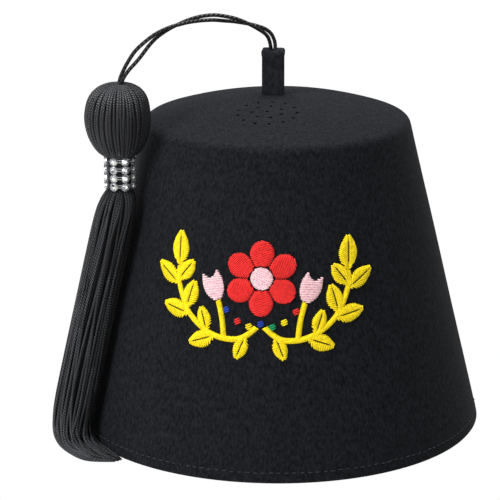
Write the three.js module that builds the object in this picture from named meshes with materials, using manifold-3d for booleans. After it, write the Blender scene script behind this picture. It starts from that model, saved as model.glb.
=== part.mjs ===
// A black felt fez: a stiff tapering crown with air holes, a stalk, a doubled cord, a tassel with a
// stone collar, and a raised embroidered spray. Millimetres, +Z up. The origin is the middle of the
// rim's plane, and the embroidered front faces -Y.

import * as THREE from 'three';
import Module from 'manifold-3d';
import { mergeVertices } from 'three/addons/utils/BufferGeometryUtils.js';
import { TessellateModifier } from 'three/addons/modifiers/TessellateModifier.js';

const wasm = await Module();
wasm.setup();

// General sizes
const CLEARANCE = 0.3; // between pieces that touch
const WELD = 1e-4; // points this near each other are one point
const OVERREACH = 2; // how far a cutter runs past what it cuts

// Crown
const RIM_RADIUS = 92.5; // outside, at the rim
const TOP_RADIUS = 59; // outside, where the side and the top would meet without the rounded edge
const SIDE_HEIGHT = 138.4;
const EDGE_RADIUS = 5; // outside of the rounded top edge
const DOME_RISE = 9.8; // how far the top would bulge above the side's height
const FELT = 2.5; // thickness of the felt
const CROWN_SIDES = 48;

// Air holes, punched in rings in front of the stalk
const VENT_DIAMETER = 1.4;
const VENT_DISTANCE = 27.5; // from the stalk to the middle of the rings
const VENT_RING_RADIUS = 13; // of the outermost ring
const VENT_RINGS = [
  { count: 1, out: 0 },
  { count: 7, out: 0.52 },
  { count: 13, out: 1 },
];
const VENT_SIDES = 6;

// Stalk: a felt strip folded in two over the cord's end
const TAB_WIDTH = 9.7;
const TAB_HEIGHT = 20.5;
const TAB_FELT = 2.2; // one layer
const TAB_SLIT = 0.4; // between the two layers
const TAB_OFFSET = -2; // sideways from the middle of the top
const TAB_BACK = 2; // behind the middle of the top
const FOLD_HEIGHT = 4; // the part of the stalk that the fold bulges
const FOLD_SWELL = 0.35; // how far the fold stands proud all round
const CORD_HOLE_DEPTH = 3;

// Cord: two strands twisted round each other, more tightly near the stalk
const STRAND_DIAMETER = 1.7;
const STRAND_SIDES = 8;
const STRAND_STEPS = 30;
const TWIST_RADIUS = 1.08; // from the middle of the doubled cord to the middle of each strand
const EYE_OPENING = 0.55; // how much further apart the strands lie in the eye above the tassel
const EYE_PLACE = 0.85; // share of the cord's length at which the eye is widest
const EYE_SPREAD = 0.075; // share of the cord's length over which it closes
const HALF_TURNS = 3;
const TWIST_EASE = 0.72; // below 1, the turns are closer together near the stalk
const CORD_AZIMUTH = 212.1; // the direction in which the doubled cord leaves the stalk, degrees from +X
// The middle of the doubled cord, chosen by hand: distance from the stalk's middle, and height
const CORD_ROUTE = [
  [0, 167.2], [0.2, 170.4], [0.8, 173], [2.1, 175.4], [4.4, 177.4], [7.4, 179],
  [11, 180.6], [15, 182.1], [19.4, 183.5], [24, 184.5], [28.6, 185.3], [33, 185.5],
  [37.4, 185.3], [41.8, 184.7], [46.2, 183.7], [50.4, 182.5], [54.4, 180.9], [58.2, 178.8],
  [61.8, 176], [65, 173], [68, 169.7], [70.8, 166.4], [73, 163], [73.9, 160.7],
];

// Tassel
const TASSEL_AZIMUTH = 210; // degrees from +X, so 60 degrees to the left of the front
const LEAN_HEIGHT = 112.5; // where the hanging tassel would first meet the crown's side
const HEAD_WIDTH = 28.8;
const HEAD_HEIGHT = 31.6;
const HEAD_LEAN = 0.7; // how far the middle of the head bulges outwards
const HEAD_SIDES = 24;
const HEAD_STEPS = 12;
const NECK_RADIUS = 5.1;
// Outline of the head from its pole to its neck: down as a share of HEAD_HEIGHT, out of HEAD_WIDTH / 2
const HEAD_OUTLINE = [
  { down: 0.026, out: 0 },
  { down: 0.018, out: 0.2 },
  { down: 0.024, out: 0.4 },
  { down: 0.09, out: 0.68 },
  { down: 0.22, out: 0.9 },
  { down: 0.43, out: 1 },
  { down: 0.62, out: 0.975 },
  { down: 0.79, out: 0.87 },
  { down: 0.93, out: 0.69 },
  { down: 1, out: 0.5 },
];

// Stone collar round the neck
const STONE_ROWS = 4;
const STONE_COLUMNS = 8;
const ROW_PITCH = 3.75;
const CUP_FOOT = 0.78; // width of a cup's foot as a share of its width at the lip
const CUP_DEPTH = 0.95;
const STONE_WIDTH = 0.84; // width of a stone as a share of its cup's
const TABLE_WIDTH = 0.5; // width of its table as a share of the stone's
const STONE_RISE = 0.6; // of the table above the lip
const SOLDER = 0.04; // how far pieces that are soldered run into each other
const BAND_THICKNESS = 0.35; // of the flat band that links the cups of a row
const BAND_WIDTH = 0.5; // as a share of ROW_PITCH
const FACETS = 8;

// Skirt
const SKIRT_WIDTH = 19.4;
const SKIRT_DEPTH = 19.2;
const SKIRT_LOCKS = 10;
const SKIRT_CORE = 0.74; // size of the core as a share of the skirt
const LOCK_SIDES = 6;
const LOCK_SIZE = 0.32; // radius of a lock as a share of the skirt's half width
const TAIL_DROP = 18; // height at which the skirt starts to turn
const TAIL_SWEEP = 34.7; // how far its ends are swept round the rim, along the rim
// Sections down the skirt: height as a share of the skirt's top above TAIL_DROP, width and depth as
// shares of SKIRT_WIDTH and SKIRT_DEPTH
const SKIRT_SECTIONS = [
  { height: 1, width: 0.62, depth: 0.58 },
  { height: 0.965, width: 0.94, depth: 0.84 },
  { height: 0.89, width: 1.08, depth: 0.93 },
  { height: 0.77, width: 1.06, depth: 0.97 },
  { height: 0.5, width: 1, depth: 1 },
  { height: 0.25, width: 1.08, depth: 1 },
  { height: 0, width: 1.22, depth: 0.97 },
];
// Sections of the tail, from the skirt's back edge to its front edge: back and front are shares of the
// way from each edge to the swept ends, the heights are shares of TAIL_DROP, depth is of SKIRT_DEPTH
const TAIL_SECTIONS = [
  { back: 0.005, backHeight: 0.55, front: 0.08, frontHeight: 0.6, depth: 0.97 },
  { back: 0.045, backHeight: 0.29, front: 0.12, frontHeight: 0.36, depth: 0.97 },
  { back: 0.12, backHeight: 0.12, front: 0.19, frontHeight: 0.25, depth: 0.93 },
  { back: 0.25, backHeight: 0.04, front: 0.31, frontHeight: 0.2, depth: 0.9 },
  { back: 0.42, backHeight: 0.02, front: 0.46, frontHeight: 0.18, depth: 0.88 },
  { back: 0.62, backHeight: 0.02, front: 0.65, frontHeight: 0.16, depth: 0.865 },
  { back: 0.82, backHeight: 0.02, front: 0.83, frontHeight: 0.14, depth: 0.77 },
  { back: 0.985, backHeight: 0.03, front: 0.985, frontHeight: 0.1, depth: 0.43 },
];

// Embroidery, drawn flat and then wrapped round the crown's side
const STITCH_THICKNESS = 0.8;
const STITCH_HEIGHT = 80; // height of the middle of the spray on the crown's side
const SPRAY_WIDTH = 94;
const SPRAY_HEIGHT = 50;
const STITCH_GRAIN = 8; // longest side of a face, so that the pieces follow the curved side
const FLOWER_RADIUS = 16;
const FLOWER_RISE = 5; // middle of the flower above the middle of the spray
const PETALS = 6;
const PETAL_WIDTH = 0.6; // as a share of FLOWER_RADIUS
const HEART_RADIUS = 4.8;
const STEM_WIDTH = 2.2;
const LEAF_LENGTH = 15.5;
const LEAF_WIDTH = 8;
const BUD_LENGTH = 12;
const BUD_WIDTH = 9;
// One branch, mirrored for the other: its stem in shares of half the spray's width and height
const STEM_ROUTE = [
  { across: 0.03, up: -0.62 },
  { across: 0.2, up: -0.84 },
  { across: 0.45, up: -0.8 },
  { across: 0.68, up: -0.5 },
  { across: 0.8, up: -0.02 },
  { across: 0.8, up: 0.3 },
];
// Leaves along the stem: where, which way they turn from the stem in degrees, and their size
const LEAVES = [
  { at: 0.14, turn: -36, size: 0.72 },
  { at: 0.38, turn: -38, size: 0.85 },
  { at: 0.44, turn: 46, size: 0.72 },
  { at: 0.6, turn: -40, size: 0.9 },
  { at: 0.64, turn: 48, size: 0.85 },
  { at: 0.8, turn: -42, size: 0.9 },
  { at: 0.83, turn: 46, size: 0.8 },
  { at: 0.98, turn: -3, size: 1 },
];
// The stalk of a bud, from the stem to the bud's foot, in the same shares as the stem
const BUD_STALK = [
  { across: 0.34, up: -0.84 },
  { across: 0.36, up: -0.5 },
  { across: 0.4, up: -0.2 },
];
const BUD_TURN = 70; // degrees from +X that the bud points to

const COLOURS = {
  felt: 0x1b1d20,
  cord: 0x16181a,
  silver: 0xc9ccd0,
  yellow: 0xf7dc1c,
  red: 0xe8353a,
  pink: 0xf3b9be,
};

const UP = new THREE.Vector3(0, 0, 1);
const degrees = THREE.MathUtils.degToRad;

/** A manifold solid of a closed three.js geometry. */
function toSolid(geometry) {
  const plain = new THREE.BufferGeometry();
  plain.setAttribute('position', geometry.attributes.position);
  plain.setIndex(geometry.index);
  const merged = mergeVertices(plain, WELD);
  const index = merged.index.array;
  const corners = [];
  for (let i = 0; i < index.length; i += 3) {
    const [a, b, c] = [index[i], index[i + 1], index[i + 2]];
    if (a !== b && b !== c && c !== a) corners.push(a, b, c);
  }
  const mesh = { numProp: 3, vertProperties: new Float32Array(merged.attributes.position.array) };
  const solid = new wasm.Manifold(new wasm.Mesh({ ...mesh, triVerts: new Uint32Array(corners) }));
  if (solid.volume() > 0) return solid;
  const turned = new Uint32Array(corners.reverse());
  return new wasm.Manifold(new wasm.Mesh({ ...mesh, triVerts: turned }));
}

/** The three.js geometry of a manifold solid. */
function toGeometry(solid) {
  const mesh = solid.getMesh();
  const geometry = new THREE.BufferGeometry();
  const points = new Float32Array(mesh.numVert * 3);
  for (let i = 0; i < mesh.numVert; i += 1) {
    for (let k = 0; k < 3; k += 1) points[i * 3 + k] = mesh.vertProperties[i * mesh.numProp + k];
  }
  geometry.setAttribute('position', new THREE.BufferAttribute(points, 3));
  geometry.setIndex(new THREE.BufferAttribute(new Uint32Array(mesh.triVerts), 1));
  geometry.computeVertexNormals();
  return geometry;
}

/** One solid of several that overlap. */
function join(geometries) {
  return geometries.map(toSolid).reduce((all, next) => all.add(next));
}

/** A named mesh with its own material. */
function piece(name, solid, colour, roughness, metalness = 0) {
  const material = new THREE.MeshStandardMaterial({ color: colour, roughness, metalness });
  const mesh = new THREE.Mesh(toGeometry(solid), material);
  mesh.name = name;
  return mesh;
}

/** Moves each point of a geometry to where place(x, y, z) puts it. */
function reshape(geometry, place) {
  const at = geometry.attributes.position;
  for (let i = 0; i < at.count; i += 1) {
    const moved = place(at.getX(i), at.getY(i), at.getZ(i));
    at.setXYZ(i, moved.x, moved.y, moved.z);
  }
  return geometry;
}

/** A regular outline with its first corner turned by half a side. */
function ring(sides, radius) {
  const corners = [];
  for (let i = 0; i < sides; i += 1) {
    const angle = ((i + 0.5) / sides) * 2 * Math.PI;
    corners.push(new THREE.Vector2(radius * Math.cos(angle), radius * Math.sin(angle)));
  }
  return new THREE.Shape(corners);
}

/** A turned geometry round Z, from a list of [radius, height] that starts and ends on the axis. */
function turned(profile, sides) {
  const points = profile.map(([radius, height]) => new THREE.Vector2(radius, height));
  return new THREE.LatheGeometry(points, sides).rotateX(Math.PI / 2);
}

/** Directions and corner of the crown's outline, all from its driving sizes. */
function crownLines() {
  const side = new THREE.Vector2(TOP_RADIUS - RIM_RADIUS, SIDE_HEIGHT).normalize();
  const top = new THREE.Vector2(-1, (2 * DOME_RISE) / TOP_RADIUS).normalize();
  const sideOut = new THREE.Vector2(side.y, -side.x);
  const topOut = new THREE.Vector2(top.y, -top.x);
  return { side, top, sideOut, topOut };
}

/** The crown's outline moved inwards by inset, from the axis at the top down to the rim. */
function crownOutline(inset) {
  const { side, top, sideOut, topOut } = crownLines();
  const bisector = sideOut.clone().add(topOut);
  const corner = new THREE.Vector2(TOP_RADIUS, SIDE_HEIGHT)
    .addScaledVector(bisector, -inset / (1 + sideOut.dot(topOut)));
  const edge = Math.max(EDGE_RADIUS - inset, FELT / 2);
  const tangent = edge * Math.tan(Math.acos(side.dot(top)) / 2);
  const below = corner.clone().addScaledVector(side, -tangent);
  const above = corner.clone().addScaledVector(top, tangent);
  const apex = above.y + (above.x * (2 * DOME_RISE)) / TOP_RADIUS / 2;
  const dome = new THREE.QuadraticBezierCurve(
    new THREE.Vector2(0, apex), new THREE.Vector2(above.x / 2, apex), above,
  );
  const rounded = new THREE.QuadraticBezierCurve(above, corner, below);
  const rim = new THREE.Vector2(RIM_RADIUS - inset / sideOut.x, 0);
  return [...dome.getPoints(4).slice(0, -1), ...rounded.getPoints(3), rim];
}

/** Outside radius of the crown's side at a height. */
function sideRadius(height) {
  return RIM_RADIUS + ((TOP_RADIUS - RIM_RADIUS) * height) / SIDE_HEIGHT;
}

const CROWN_APEX = crownOutline(0)[0].y;
const SIDE_SLOPE = Math.atan2(RIM_RADIUS - TOP_RADIUS, SIDE_HEIGHT);

/** The felt crown, with the air holes cut through its top. */
function crown() {
  const outline = [...crownOutline(0), ...crownOutline(FELT).reverse()];
  const shell = toSolid(turned(outline.map((point) => [point.x, point.y]), CROWN_SIDES));
  const cutters = [];
  for (const { count, out } of VENT_RINGS) {
    for (let i = 0; i < count; i += 1) {
      const angle = (i / count) * 2 * Math.PI + out;
      const reach = out * VENT_RING_RADIUS;
      const length = DOME_RISE + FELT + 2 * OVERREACH;
      const hole = new THREE.CylinderGeometry(VENT_DIAMETER / 2, VENT_DIAMETER / 2, length, VENT_SIDES)
        .rotateX(Math.PI / 2)
        .translate(
          TAB_OFFSET + reach * Math.cos(angle),
          TAB_BACK - VENT_DISTANCE + reach * Math.sin(angle),
          CROWN_APEX + OVERREACH - length / 2,
        );
      cutters.push(toSolid(hole));
    }
  }
  return cutters.reduce((felt, cutter) => felt.subtract(cutter), shell);
}

/** The folded felt stalk: its front outline crossed with its side outline, less the cord's hole. */
function stalkTab() {
  const base = CROWN_APEX + CLEARANCE;
  const half = TAB_WIDTH / 2;
  const neck = TAB_HEIGHT - FOLD_HEIGHT;
  const front = new THREE.Shape();
  front.moveTo(-half, 0);
  front.lineTo(half, 0);
  front.lineTo(half, neck);
  front.quadraticCurveTo(half + FOLD_SWELL, neck + FOLD_HEIGHT * 0.15, half + FOLD_SWELL, neck + FOLD_HEIGHT * 0.5);
  front.quadraticCurveTo(half + FOLD_SWELL, TAB_HEIGHT * 0.995, half - FOLD_SWELL * 3, TAB_HEIGHT);
  front.lineTo(-half + FOLD_SWELL * 3, TAB_HEIGHT);
  front.quadraticCurveTo(-half - FOLD_SWELL, TAB_HEIGHT * 0.995, -half - FOLD_SWELL, neck + FOLD_HEIGHT * 0.5);
  front.quadraticCurveTo(-half - FOLD_SWELL, neck + FOLD_HEIGHT * 0.15, -half, neck);
  const layers = TAB_FELT + TAB_SLIT / 2;
  const swollen = layers + FOLD_SWELL;
  const side = new THREE.Shape();
  side.moveTo(-layers, 0);
  side.lineTo(-TAB_SLIT / 2, 0);
  side.lineTo(-TAB_SLIT / 2, neck);
  side.lineTo(TAB_SLIT / 2, neck);
  side.lineTo(TAB_SLIT / 2, 0);
  side.lineTo(layers, 0);
  side.lineTo(layers, neck);
  side.quadraticCurveTo(swollen, neck + FOLD_HEIGHT * 0.2, swollen, neck + FOLD_HEIGHT * 0.4);
  side.quadraticCurveTo(swollen, TAB_HEIGHT, 0, TAB_HEIGHT);
  side.quadraticCurveTo(-swollen, TAB_HEIGHT, -swollen, neck + FOLD_HEIGHT * 0.4);
  side.quadraticCurveTo(-swollen, neck + FOLD_HEIGHT * 0.2, -layers, neck);
  const depth = 2 * (swollen + OVERREACH);
  const width = 2 * (half + FOLD_SWELL + OVERREACH);
  const flat = { bevelEnabled: false, curveSegments: 4 };
  const fromFront = new THREE.ExtrudeGeometry(front, { ...flat, depth })
    .rotateX(Math.PI / 2)
    .translate(0, depth / 2, 0);
  const fromSide = new THREE.ExtrudeGeometry(side, { ...flat, depth: width })
    .rotateX(Math.PI / 2)
    .rotateZ(Math.PI / 2)
    .translate(-width / 2, 0, 0);
  const mouth = TWIST_RADIUS + STRAND_DIAMETER / 2 + CLEARANCE;
  const hole = new THREE.CylinderGeometry(mouth, mouth, CORD_HOLE_DEPTH + OVERREACH, 16)
    .rotateX(Math.PI / 2)
    .translate(0, 0, TAB_HEIGHT - CORD_HOLE_DEPTH / 2 + OVERREACH / 2);
  return toSolid(fromFront).intersect(toSolid(fromSide)).subtract(toSolid(hole))
    .translate([TAB_OFFSET, TAB_BACK, base]);
}

/** One strand of the doubled cord: a tube wound round the cord's middle line. */
function cordStrand(phase) {
  const heading = new THREE.Vector3(Math.cos(degrees(CORD_AZIMUTH)), Math.sin(degrees(CORD_AZIMUTH)), 0);
  const across = new THREE.Vector3().crossVectors(UP, heading);
  const middle = new THREE.CatmullRomCurve3(CORD_ROUTE.map(([along, height]) => (
    new THREE.Vector3(TAB_OFFSET, TAB_BACK, height).addScaledVector(heading, along)
  )));
  const wound = [];
  for (let i = 0; i <= STRAND_STEPS; i += 1) {
    const share = i / STRAND_STEPS;
    const angle = phase + share ** TWIST_EASE * HALF_TURNS * Math.PI;
    const outward = new THREE.Vector3().crossVectors(middle.getTangentAt(share), across);
    const eye = Math.exp(-(((share - EYE_PLACE) / EYE_SPREAD) ** 2));
    const apart = TWIST_RADIUS * (1 + EYE_OPENING * eye);
    wound.push(middle.getPointAt(share)
      .addScaledVector(across, apart * Math.cos(angle))
      .addScaledVector(outward, apart * Math.sin(angle)));
  }
  return toSolid(new THREE.ExtrudeGeometry(ring(STRAND_SIDES, STRAND_DIAMETER / 2), {
    extrudePath: new THREE.CatmullRomCurve3(wound),
    steps: STRAND_STEPS,
  }));
}

// The tassel is drawn in its own vertical plane: x away from the hat's axis, y round the rim towards
// the front, z up. It hangs plumb from the cord's end until its skirt meets the crown's side.
const SKIRT_STAND = SKIRT_DEPTH / 2 + CLEARANCE; // from the crown's side to the skirt's middle
const HANG_RADIUS = sideRadius(LEAN_HEIGHT) + SKIRT_STAND / Math.cos(SIDE_SLOPE);
const CORD_END = CORD_ROUTE[CORD_ROUTE.length - 1][1] - CLEARANCE - STRAND_DIAMETER / 4;
const HEAD_TOP = CORD_END + HEAD_OUTLINE[0].down * HEAD_HEIGHT;
const COLLAR_TOP = HEAD_TOP - HEAD_HEIGHT - CLEARANCE;
const COLLAR_HEIGHT = STONE_ROWS * ROW_PITCH;
const SKIRT_TOP = COLLAR_TOP - COLLAR_HEIGHT - CLEARANCE;

/** The cord-covered ball with its bound neck, which runs down through the collar. */
function tasselHead() {
  const outline = new THREE.SplineCurve(HEAD_OUTLINE.map(({ down, out }) => (
    new THREE.Vector2((out * HEAD_WIDTH) / 2, HEAD_TOP - down * HEAD_HEIGHT)
  )));
  const profile = outline.getPoints(HEAD_STEPS).map((point) => [Math.max(point.x, 0), point.y]);
  profile[0][0] = 0;
  const shoulder = HEAD_TOP - HEAD_HEIGHT;
  profile.push([NECK_RADIUS, shoulder], [NECK_RADIUS, SKIRT_TOP + CLEARANCE], [0, SKIRT_TOP + CLEARANCE]);
  const ball = reshape(turned(profile, HEAD_SIDES), (x, y, z) => {
    const share = THREE.MathUtils.clamp((z - shoulder) / HEAD_HEIGHT, 0, 1);
    return new THREE.Vector3(x + HANG_RADIUS + HEAD_LEAN * Math.sin(Math.PI * share), y, z);
  });
  return toSolid(ball);
}

/** One stone in its cup, with its foot on the XY plane and its table facing +Z. */
function cuppedStone() {
  const lip = ROW_PITCH / 2 / Math.cos(Math.PI / FACETS) + SOLDER;
  const stone = lip * STONE_WIDTH;
  const table = stone * TABLE_WIDTH;
  const profile = [
    [0, 0],
    [lip * CUP_FOOT, 0],
    [lip, CUP_DEPTH],
    [stone, CUP_DEPTH],
    [table, CUP_DEPTH + STONE_RISE],
    [0, CUP_DEPTH + STONE_RISE],
  ];
  return turned(profile, FACETS).rotateZ(Math.PI / FACETS);
}

/** Rows of cups round the neck, each row on a band with a flat for each cup, all soldered together. */
function rhinestoneCollar() {
  const inside = NECK_RADIUS + CLEARANCE;
  const outside = inside + BAND_THICKNESS;
  const toCorner = 1 / Math.cos(Math.PI / STONE_COLUMNS);
  const half = (BAND_WIDTH * ROW_PITCH) / 2;
  const bandProfile = [[inside, -half], [outside, -half], [outside, half], [inside, half], [inside, -half]];
  const parts = [];
  for (let row = 0; row < STONE_ROWS; row += 1) {
    const height = COLLAR_TOP - (row + 0.5) * ROW_PITCH;
    const corners = bandProfile.map(([radius, level]) => [radius * toCorner, level]);
    parts.push(turned(corners, STONE_COLUMNS)
      .rotateZ(Math.PI / STONE_COLUMNS)
      .translate(HANG_RADIUS, 0, height));
    for (let column = 0; column < STONE_COLUMNS; column += 1) {
      parts.push(cuppedStone()
        .rotateY(Math.PI / 2)
        .translate(outside - SOLDER, 0, 0)
        .rotateZ((column / STONE_COLUMNS) * 2 * Math.PI)
        .translate(HANG_RADIUS, 0, height));
    }
  }
  return join(parts);
}

/** The skirt's sections from top to tail: back and front edge, and half the depth. */
function skirtSections() {
  const half = SKIRT_WIDTH / 2;
  const drop = SKIRT_TOP - TAIL_DROP;
  const hanging = SKIRT_SECTIONS.map(({ height, width, depth }) => {
    const level = TAIL_DROP + height * drop;
    const resting = sideRadius(level) + SKIRT_STAND / Math.cos(SIDE_SLOPE);
    const radius = Math.max(resting, HANG_RADIUS);
    return {
      back: new THREE.Vector3(radius, -width * half, level),
      front: new THREE.Vector3(radius, width * half, level),
      depth: (depth * SKIRT_DEPTH) / 2,
    };
  });
  const swept = TAIL_SECTIONS.map(({ back, backHeight, front, frontHeight, depth }) => {
    const reach = (share, from) => from + share * (TAIL_SWEEP - from);
    const stand = (depth * SKIRT_DEPTH) / 2 + CLEARANCE;
    const radius = (level) => sideRadius(level) + stand / Math.cos(SIDE_SLOPE);
    const [low, high] = [backHeight * TAIL_DROP, frontHeight * TAIL_DROP];
    return {
      back: new THREE.Vector3(radius(low), reach(back, -half), low),
      front: new THREE.Vector3(radius(high), reach(front, half), high),
      depth: (depth * SKIRT_DEPTH) / 2,
    };
  });
  return [...hanging, ...swept];
}

/** The skirt: locks laid round a core, all following the same line. */
function tasselSkirt() {
  const sections = skirtSections();
  const backLine = new THREE.CatmullRomCurve3(sections.map(({ back }) => back));
  const frontLine = new THREE.CatmullRomCurve3(sections.map(({ front }) => front));
  const last = sections.length - 1;
  const depthAt = (share) => {
    const before = Math.min(Math.floor(share * last), last - 1);
    return THREE.MathUtils.lerp(sections[before].depth, sections[before + 1].depth, share * last - before);
  };
  const place = (round, wide, share) => {
    const point = new THREE.Vector3().lerpVectors(
      backLine.getPoint(share), frontLine.getPoint(share), (wide + 1) / 2,
    );
    const angle = point.y / point.x;
    const radius = point.x + round * depthAt(share);
    return new THREE.Vector3(radius * Math.cos(angle), radius * Math.sin(angle), point.z);
  };
  const bar = (sides, radius) => new THREE.ExtrudeGeometry(ring(sides, radius), {
    depth: 1, steps: last, bevelEnabled: false,
  });
  const parts = [reshape(bar(SKIRT_LOCKS, SKIRT_CORE), place)];
  for (let i = 0; i < SKIRT_LOCKS; i += 1) {
    const angle = (i / SKIRT_LOCKS) * 2 * Math.PI;
    const reach = 1 - LOCK_SIZE;
    parts.push(reshape(bar(LOCK_SIDES, LOCK_SIZE), (x, y, z) => (
      place(x + reach * Math.cos(angle), y + reach * Math.sin(angle), z)
    )));
  }
  return join(parts);
}

/** A pad of stitches from a flat outline: x across the front, y up the side. */
function pad(shape) {
  return new THREE.ExtrudeGeometry(shape, { depth: STITCH_THICKNESS, bevelEnabled: false, curveSegments: 4 });
}

/** Wraps a flat solid round the crown's side, its back just clear of the felt. */
function wrap(solid) {
  const fine = new TessellateModifier(STITCH_GRAIN, 6).modify(toGeometry(solid).toNonIndexed());
  return toSolid(reshape(fine, (x, y, z) => {
    const level = STITCH_HEIGHT + y * Math.cos(SIDE_SLOPE);
    const angle = x / sideRadius(level) - Math.PI / 2;
    const radius = sideRadius(level) + (CLEARANCE + z) * Math.cos(SIDE_SLOPE);
    const height = level + (CLEARANCE + z) * Math.sin(SIDE_SLOPE);
    return new THREE.Vector3(radius * Math.cos(angle), radius * Math.sin(angle), height);
  }));
}

/** A line of the drawing through points given in shares of half its width and height. */
function drawnLine(points) {
  return new THREE.SplineCurve(points.map(({ across, up }) => (
    new THREE.Vector2((across * SPRAY_WIDTH) / 2, (up * SPRAY_HEIGHT) / 2)
  )));
}

/** A ribbon of even width along a line. */
function ribbon(line, width, steps) {
  const edge = (side) => Array.from({ length: steps + 1 }, (_, i) => {
    const along = line.getTangent(i / steps);
    return line.getPoint(i / steps).add(new THREE.Vector2(-along.y, along.x).multiplyScalar((side * width) / 2));
  });
  return new THREE.Shape([...edge(-1), ...edge(1).reverse()]);
}

/** A pointed leaf from its foot along +X. */
function leafShape(length, width) {
  const leaf = new THREE.Shape();
  leaf.moveTo(0, 0);
  leaf.quadraticCurveTo(length * 0.42, -width, length, 0);
  leaf.quadraticCurveTo(length * 0.42, width, 0, 0);
  return leaf;
}

/** One branch of the spray for the right side, still flat. */
function flatBranch() {
  const stem = drawnLine(STEM_ROUTE);
  const parts = [pad(ribbon(stem, STEM_WIDTH, 12)), pad(ribbon(drawnLine(BUD_STALK), STEM_WIDTH, 4))];
  for (const { at, turn, size } of LEAVES) {
    const foot = stem.getPoint(at);
    const along = stem.getTangent(at);
    parts.push(pad(leafShape(LEAF_LENGTH * size, LEAF_WIDTH * size))
      .rotateZ(Math.atan2(along.y, along.x) + degrees(turn))
      .translate(foot.x, foot.y, 0));
  }
  return join(parts);
}

/** The red petals, joined by a ring round the flower's heart. */
function flatPetals() {
  const hole = HEART_RADIUS + CLEARANCE;
  const petal = new THREE.Shape();
  const width = (PETAL_WIDTH * FLOWER_RADIUS) / 2;
  const length = (FLOWER_RADIUS - hole * 0.8) / 2;
  petal.absellipse(FLOWER_RADIUS - length, 0, length, width, 0, 2 * Math.PI);
  const band = new THREE.Shape();
  band.absarc(0, 0, (hole + FLOWER_RADIUS) / 2, 0, 2 * Math.PI);
  const parts = [pad(band)];
  for (let i = 0; i < PETALS; i += 1) parts.push(pad(petal).rotateZ(((i + 0.5) / PETALS) * 2 * Math.PI));
  const core = new THREE.CylinderGeometry(hole, hole, STITCH_THICKNESS + 2 * OVERREACH, 16).rotateX(Math.PI / 2);
  return join(parts).subtract(toSolid(core)).translate([0, FLOWER_RISE, 0]);
}

/** The flower's round heart. */
function flatHeart() {
  const heart = new THREE.Shape();
  heart.absarc(0, FLOWER_RISE, HEART_RADIUS, 0, 2 * Math.PI);
  return toSolid(pad(heart));
}

/** A bud that opens in two points, on the end of the right stalk. */
function flatBud() {
  const foot = drawnLine(BUD_STALK).getPoint(1);
  const half = BUD_WIDTH / 2;
  const bud = new THREE.Shape();
  bud.moveTo(CLEARANCE, -half * 0.3);
  bud.quadraticCurveTo(BUD_LENGTH * 0.35, -half * 1.5, BUD_LENGTH, -half * 0.75);
  bud.quadraticCurveTo(BUD_LENGTH * 0.78, -half * 0.3, BUD_LENGTH * 0.8, 0);
  bud.quadraticCurveTo(BUD_LENGTH * 0.78, half * 0.3, BUD_LENGTH, half * 0.75);
  bud.quadraticCurveTo(BUD_LENGTH * 0.35, half * 1.5, CLEARANCE, half * 0.3);
  return toSolid(pad(bud).rotateZ(degrees(BUD_TURN)).translate(foot.x, foot.y, 0));
}

const hat = new THREE.Group();
hat.add(piece('crown', crown(), COLOURS.felt, 0.95));
hat.add(piece('stalk_tab', stalkTab(), COLOURS.felt, 0.95));
hat.add(piece('cord_strand_1', cordStrand(0), COLOURS.cord, 0.6));
hat.add(piece('cord_strand_2', cordStrand(Math.PI), COLOURS.cord, 0.6));

const tassel = new THREE.Group();
tassel.rotation.z = degrees(TASSEL_AZIMUTH);
tassel.add(piece('tassel_head', tasselHead(), COLOURS.cord, 0.55));
tassel.add(piece('rhinestone_collar', rhinestoneCollar(), COLOURS.silver, 0.15, 1));
tassel.add(piece('tassel_skirt', tasselSkirt(), COLOURS.cord, 0.55));
hat.add(tassel);

for (const [side, name] of [[1, 'right'], [-1, 'left']]) {
  const place = (solid) => wrap(side > 0 ? solid : solid.mirror([1, 0, 0]));
  hat.add(piece(`embroidered_branch_${name}`, place(flatBranch()), COLOURS.yellow, 0.5));
  hat.add(piece(`embroidered_bud_${name}`, place(flatBud()), COLOURS.pink, 0.5));
}
hat.add(piece('embroidered_petals', wrap(flatPetals()), COLOURS.red, 0.5));
hat.add(piece('embroidered_heart', wrap(flatHeart()), COLOURS.pink, 0.5));

export default hat;
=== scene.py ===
"""A black felt fez with a corded tassel and an embroidered spray, dressed round its packed solids."""

import math
import random
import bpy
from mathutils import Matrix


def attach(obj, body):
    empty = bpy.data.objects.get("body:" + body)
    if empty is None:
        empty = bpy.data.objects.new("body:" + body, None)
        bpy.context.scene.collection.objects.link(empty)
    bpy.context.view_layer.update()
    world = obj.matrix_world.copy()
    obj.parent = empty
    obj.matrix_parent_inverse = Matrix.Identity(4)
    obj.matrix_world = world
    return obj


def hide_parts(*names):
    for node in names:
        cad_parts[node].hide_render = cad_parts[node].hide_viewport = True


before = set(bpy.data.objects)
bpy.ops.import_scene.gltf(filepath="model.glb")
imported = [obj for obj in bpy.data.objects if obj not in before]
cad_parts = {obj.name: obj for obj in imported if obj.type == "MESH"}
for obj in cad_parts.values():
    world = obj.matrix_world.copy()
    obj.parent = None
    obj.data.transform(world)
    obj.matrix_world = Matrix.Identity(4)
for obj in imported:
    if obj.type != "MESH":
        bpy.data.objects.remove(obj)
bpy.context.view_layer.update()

from types import SimpleNamespace

import bmesh
import bpy
from bpy.props import (
    FloatProperty, FloatVectorProperty, IntProperty, PointerProperty, StringProperty)
from mathutils import Matrix, Vector, noise

bl_info = {
    "name": "Felt fez",
    "version": (1, 0, 0),
    "blender": (4, 5, 0),
    "location": "View3D > Sidebar > Fez",
    "description": "Makes a black felt fez with its stalk, cord, tassel and embroidery",
    "category": "Add Mesh",
}

MM = 0.001
UP = Vector((0, 0, 1))
CLEARANCE = 0.3 * MM
# How near corners lie that are one and the same
TOUCHING = 1e-7


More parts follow.
